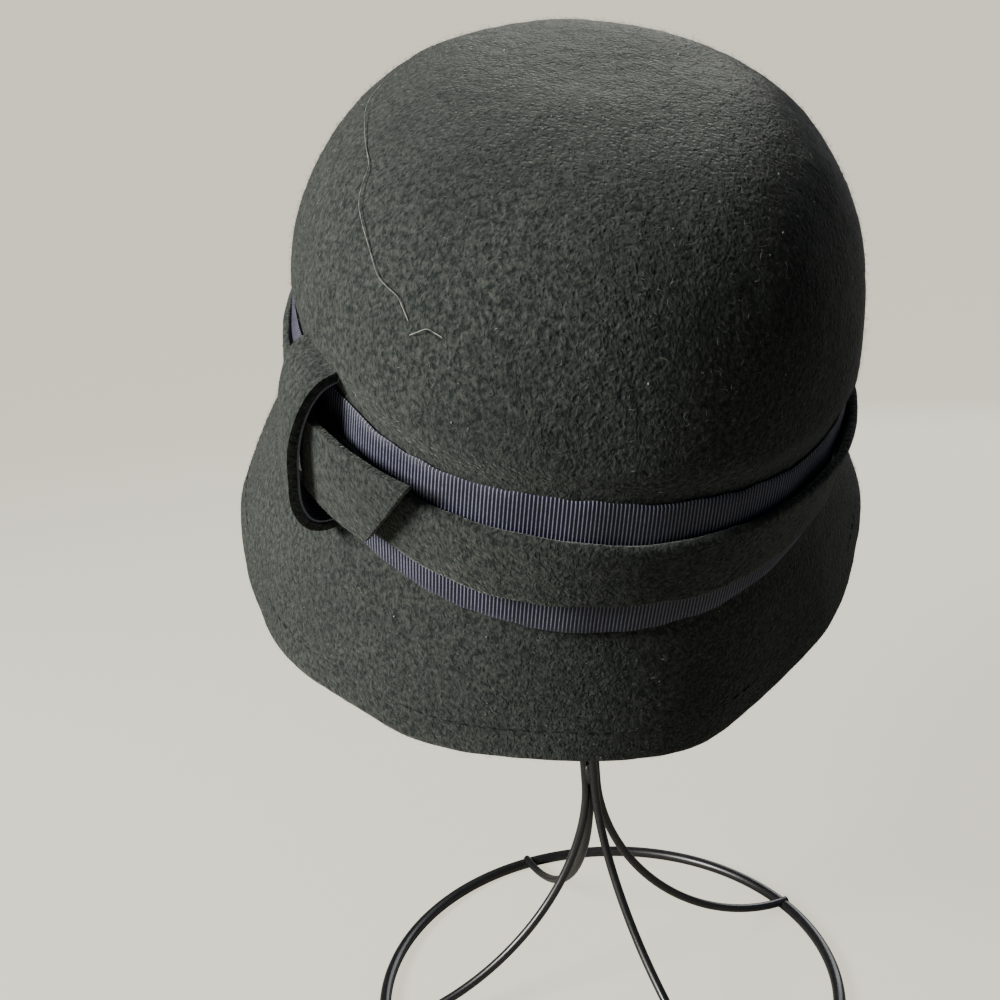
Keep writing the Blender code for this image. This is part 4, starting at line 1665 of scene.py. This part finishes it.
@dataclass
class WireStand:
    """The stand: a base ring, four wires to the balloon's top, and their welds."""

    centre: Vector = field(default_factory=lambda: Vector((0.0058, -0.0033, 0.0)))
    base_radius: float = 0.0813
    base_wire: float = 0.0041
    leg_wire: float = 0.0030
    leg_azimuths: tuple[float, ...] = (23.0, 108.0, 193.0, 294.0)
    leg_overlap: float = 1.02
    leg_curve: float = 1.79
    leg_rise: float = 0.0012
    neck_height: float = 0.0790
    neck_length: float = 0.0085
    neck_radius: float = 0.0021
    balloon_radius: float = 0.0660
    balloon_middle: float = 0.2150
    balloon_top: float = 0.3228
    steps: int = 48

    def route(self, azimuth: float) -> list[Vector]:
        """One wire's line: from the base ring up the leg, through the neck and over the balloon.

        Args:
            azimuth: Its bearing in degrees.

        Returns:
            Points along its middle.
        """
        angle = math.radians(azimuth)
        across = Vector((math.cos(angle), math.sin(angle), 0))
        floor = self.base_wire / 2 + self.leg_rise
        points = []
        for step in range(self.steps, -1, -1):
            turn = math.pi / 2 * step / self.steps
            spread = 1 - abs(math.cos(turn)) ** (2 / self.leg_curve)
            reach = self.neck_radius + (self.base_radius * self.leg_overlap - self.neck_radius) * spread
            rise = floor + (self.neck_height - floor) * (1 - math.sin(turn) ** (2 / self.leg_curve))
            points.append(self.centre + across * reach + Vector((0, 0, rise)))
        neck_top = self.neck_height + self.neck_length
        for step in range(self.steps + 1):
            part = step / self.steps
            opened = (1 - math.cos(math.pi * part)) / 2
            reach = self.neck_radius + (self.balloon_radius - self.neck_radius) * opened
            rise = neck_top + (self.balloon_middle - neck_top) * part
            points.append(self.centre + across * reach + Vector((0, 0, rise)))
        for step in range(1, self.steps + 1):
            turn = math.pi / 2 * step / self.steps
            rise = self.balloon_middle + (self.balloon_top - self.balloon_middle) * math.sin(turn)
            reach = self.balloon_radius * math.cos(turn)
            points.append(self.centre + across * reach + Vector((0, 0, rise)))
        return points

    def ring(self) -> bpy.types.Object:
        """The base ring, with its underside pressed flat where it stands.

        Returns:
            The ring.
        """
        deselect_all()
        bpy.ops.mesh.primitive_torus_add(
            major_segments=220,
            minor_segments=20,
            major_radius=self.base_radius,
            minor_radius=self.base_wire / 2 * 1.02,
            location=self.centre + Vector((0, 0, self.base_wire / 2)),
        )
        piece = settle(take_new("base_ring"))
        points = vertex_points(piece)
        points[:, 2] = np.maximum(points[:, 2], 0.0)
        move_vertices(piece, points)
        return piece

    def weld(self, name: str, place: Vector, size: tuple[float, float, float]) -> bpy.types.Object:
        """A bead of weld: a ball pressed to size and left a little lumpy.

        Args:
            name: Its name.
            place: Its middle.
            size: Its half sizes.

        Returns:
            The bead.
        """
        deselect_all()
        bpy.ops.mesh.primitive_uv_sphere_add(segments=20, ring_count=12, radius=1.0)
        piece = take_new(name)
        start = vertex_points(piece)
        lumps = np.array([1 + 0.14 * noise.noise(Vector(point) * 1.7 + place * 90) for point in start])
        move_vertices(piece, start * lumps[:, None] * np.array(size) + np.array(place))
        return piece

    def dress_all(self, finish: WireFinish) -> None:
        """Builds and dresses the stand.

        Args:
            finish: The wires' finish.
        """
        coat = finish.build()
        ring = self.ring()
        shade(ring, 80.0)
        dress(ring, coat)
        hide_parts("wire_stand")
        beads = []
        for number, azimuth in enumerate(self.leg_azimuths, 1):
            wire = rod(f"leg_and_rib_{number}", self.route(azimuth), self.leg_wire / 2, 16)
            shade(wire, 50.0)
            dress(wire, coat)
            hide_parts("wire_stand")
            angle = math.radians(azimuth)
            foot = self.centre + Vector((math.cos(angle), math.sin(angle), 0)) * self.base_radius
            foot += Vector((0, 0, self.base_wire * 0.75))
            beads.append(self.weld("bead", foot, (0.0022, 0.0022, 0.0012)))
        neck = self.centre + Vector((0, 0, self.neck_height + self.neck_length / 2))
        beads.append(self.weld("bead", neck, (0.0029, 0.0029, self.neck_length * 0.55)))
        crown = self.centre + Vector((0, 0, self.balloon_top))
        beads.append(self.weld("bead", crown, (0.0030, 0.0030, 0.0014)))
        welds = join("weld_beads", beads)
        shade(welds, 80.0)
        dress(welds, coat)
        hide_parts("wire_stand")


@dataclass
class Studio:
    """The pale floor, the lights, the air and the camera."""

    paper: Colour = (0.28, 0.27, 0.235, 1.0)
    glow: Colour = (0.70, 0.665, 0.54, 1.0)
    glow_strength: float = 1.45
    floor_size: float = 60.0
    air: Colour = (0.55, 0.72, 1.0, 1.0)
    air_strength: float = 0.035
    stand_centre: Vector = field(default_factory=lambda: Vector((0.0058, -0.0033, 0.0)))
    lit_middle: Vector = field(default_factory=lambda: Vector((0.0, 0.0, 0.24)))
    camera_offset: Vector = field(default_factory=lambda: Vector((-0.0228, -0.3228, 0.2520)))
    camera_down: float = 12.0
    camera_roll: float = -5.3

    def build_camera(self) -> None:
        """Puts the camera where the photograph was taken from."""
        down, roll = math.radians(self.camera_down), math.radians(self.camera_roll)
        forward = Vector((0, math.cos(down), -math.sin(down)))
        up = Vector((0, math.sin(down), math.cos(down)))
        across = Vector((1, 0, 0))
        right = across * math.cos(roll) + up * math.sin(roll)
        above = -across * math.sin(roll) + up * math.cos(roll)
        turned = Matrix((right, above, -forward)).transposed().to_4x4()
        deselect_all()
        bpy.ops.object.camera_add()
        camera = bpy.context.object
        camera.name = "photograph_camera"
        camera.matrix_world = Matrix.Translation(self.stand_centre + self.camera_offset) @ turned
        camera.data.sensor_width = 36.0
        camera.data.lens = 36.0
        camera.data.clip_start = 0.01
        bpy.context.scene.camera = camera

    def build_floor(self) -> None:
        """Lays a wide pale floor, which the camera sees as bright as the air behind it."""
        deselect_all()
        bpy.ops.mesh.primitive_plane_add(size=self.floor_size, location=(0, 0, -0.0002))
        floor = settle(take_new("floor_sweep"))
        made = bpy.data.materials.new("pale_paper")
        made.use_nodes = True
        sketch = NodeSketch(made.node_tree)
        grain = sketch.noise(sketch.add("TexCoord").outputs["Object"], 3.0, 2.0)
        darker = tuple(0.96 * part for part in self.paper[:3]) + (1.0,)
        is_camera = sketch.add("LightPath").outputs["Is Camera Ray"]
        seen = sketch.math("MULTIPLY", is_camera, self.glow_strength)
        sketch.feed(
            made.node_tree.nodes["Principled BSDF"],
            Base_Color=sketch.mix(sketch.spread(grain, 0.3, 0.7), darker, self.paper),
            Roughness=0.9,
            Specular_IOR_Level=0.1,
            Emission_Color=self.glow,
            Emission_Strength=seen,
        )
        floor.data.materials.append(made)

    def build_light(
        self,
        name: str,
        place: Vector,
        size: float,
        power: float,
        colour: tuple[float, float, float],
    ) -> None:
        """Adds a soft square light.

        Args:
            name: Its name.
            place: Where it stands; it looks at the hat's middle.
            size: Its side.
            power: Its power in watts.
            colour: Its colour.
        """
        deselect_all()
        bpy.ops.object.light_add(type="AREA", location=place)
        light = bpy.context.object
        light.name = name
        light.rotation_euler = (self.lit_middle - place).to_track_quat("-Z", "Y").to_euler()
        light.data.size = size
        light.data.energy = power
        light.data.color = colour

    def build(self) -> None:
        """Builds camera, floor, lights and air."""
        self.build_camera()
        self.build_floor()
        self.build_light("key_light", Vector((-1.10, -0.52, 0.78)), 0.45, 38.0, (1.0, 0.985, 0.94))
        self.build_light("back_light", Vector((0.72, 1.05, 0.70)), 0.90, 7.0, (0.98, 0.99, 1.0))
        self.build_light("low_fill", Vector((1.10, -0.10, 0.35)), 0.90, 0.4, (0.80, 0.90, 1.0))
        world = bpy.data.worlds.new("studio_air")
        world.use_nodes = True
        tree = world.node_tree
        sketch = NodeSketch(tree)
        ground = tree.nodes["Background"]
        sketch.feed(ground, Color=self.air, Strength=self.air_strength)
        seen = sketch.add("Background", Color=self.glow, Strength=self.glow_strength)
        path = sketch.add("LightPath")
        is_camera = path.outputs["Is Camera Ray"]
        mixed = sketch.add("MixShader", i0=is_camera, i1=ground.outputs[0], i2=seen.outputs[0])
        sketch.feed(tree.nodes["World Output"], Surface=mixed.outputs[0])
        bpy.context.scene.world = world


def main() -> None:
    """Builds every piece in order."""
    logging.basicConfig(level=logging.INFO, format="%(name)s: %(message)s")
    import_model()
    Studio().build()
    felt = FeltFinish("black_wool_felt", Slot.FELT)
    ribbon = RibbonFinish("navy_cord_ribbon", Slot.RIBBON)
    trim_felt = FeltFinish("black_trim_felt", Slot.FELT, clump_scale=680.0)
    thread = FibreFinish(
        "dark_hem_thread", Slot.FELT, (0.006, 0.007, 0.007, 1.0), (0.016, 0.017, 0.017, 1.0)
    )
    fuzz = FibreFinish("felt_fuzz", Slot.FELT)
    lint = FibreFinish("pale_lint", Slot.FELT, (0.16, 0.17, 0.155, 1.0), (0.50, 0.50, 0.44, 1.0))
    shell = FeltShell().dress_all(felt, thread)
    RibbonBand().dress_all(ribbon)
    FeltBand().dress_all(trim_felt)
    # The lining takes the ribbon finish too, with its painted highlight on the rib tops and painted shade
    # in the gaps.
    Keeper().dress_all(trim_felt, RibbonFinish("navy_lining", Slot.RIBBON, ribs=16.0))
    LooseFibres().dress_all(shell, fuzz, lint)
    WireStand().dress_all(WireFinish("satin_black_wire", Slot.WIRE))
    deselect_all()


if __name__ == "__main__":
    main()
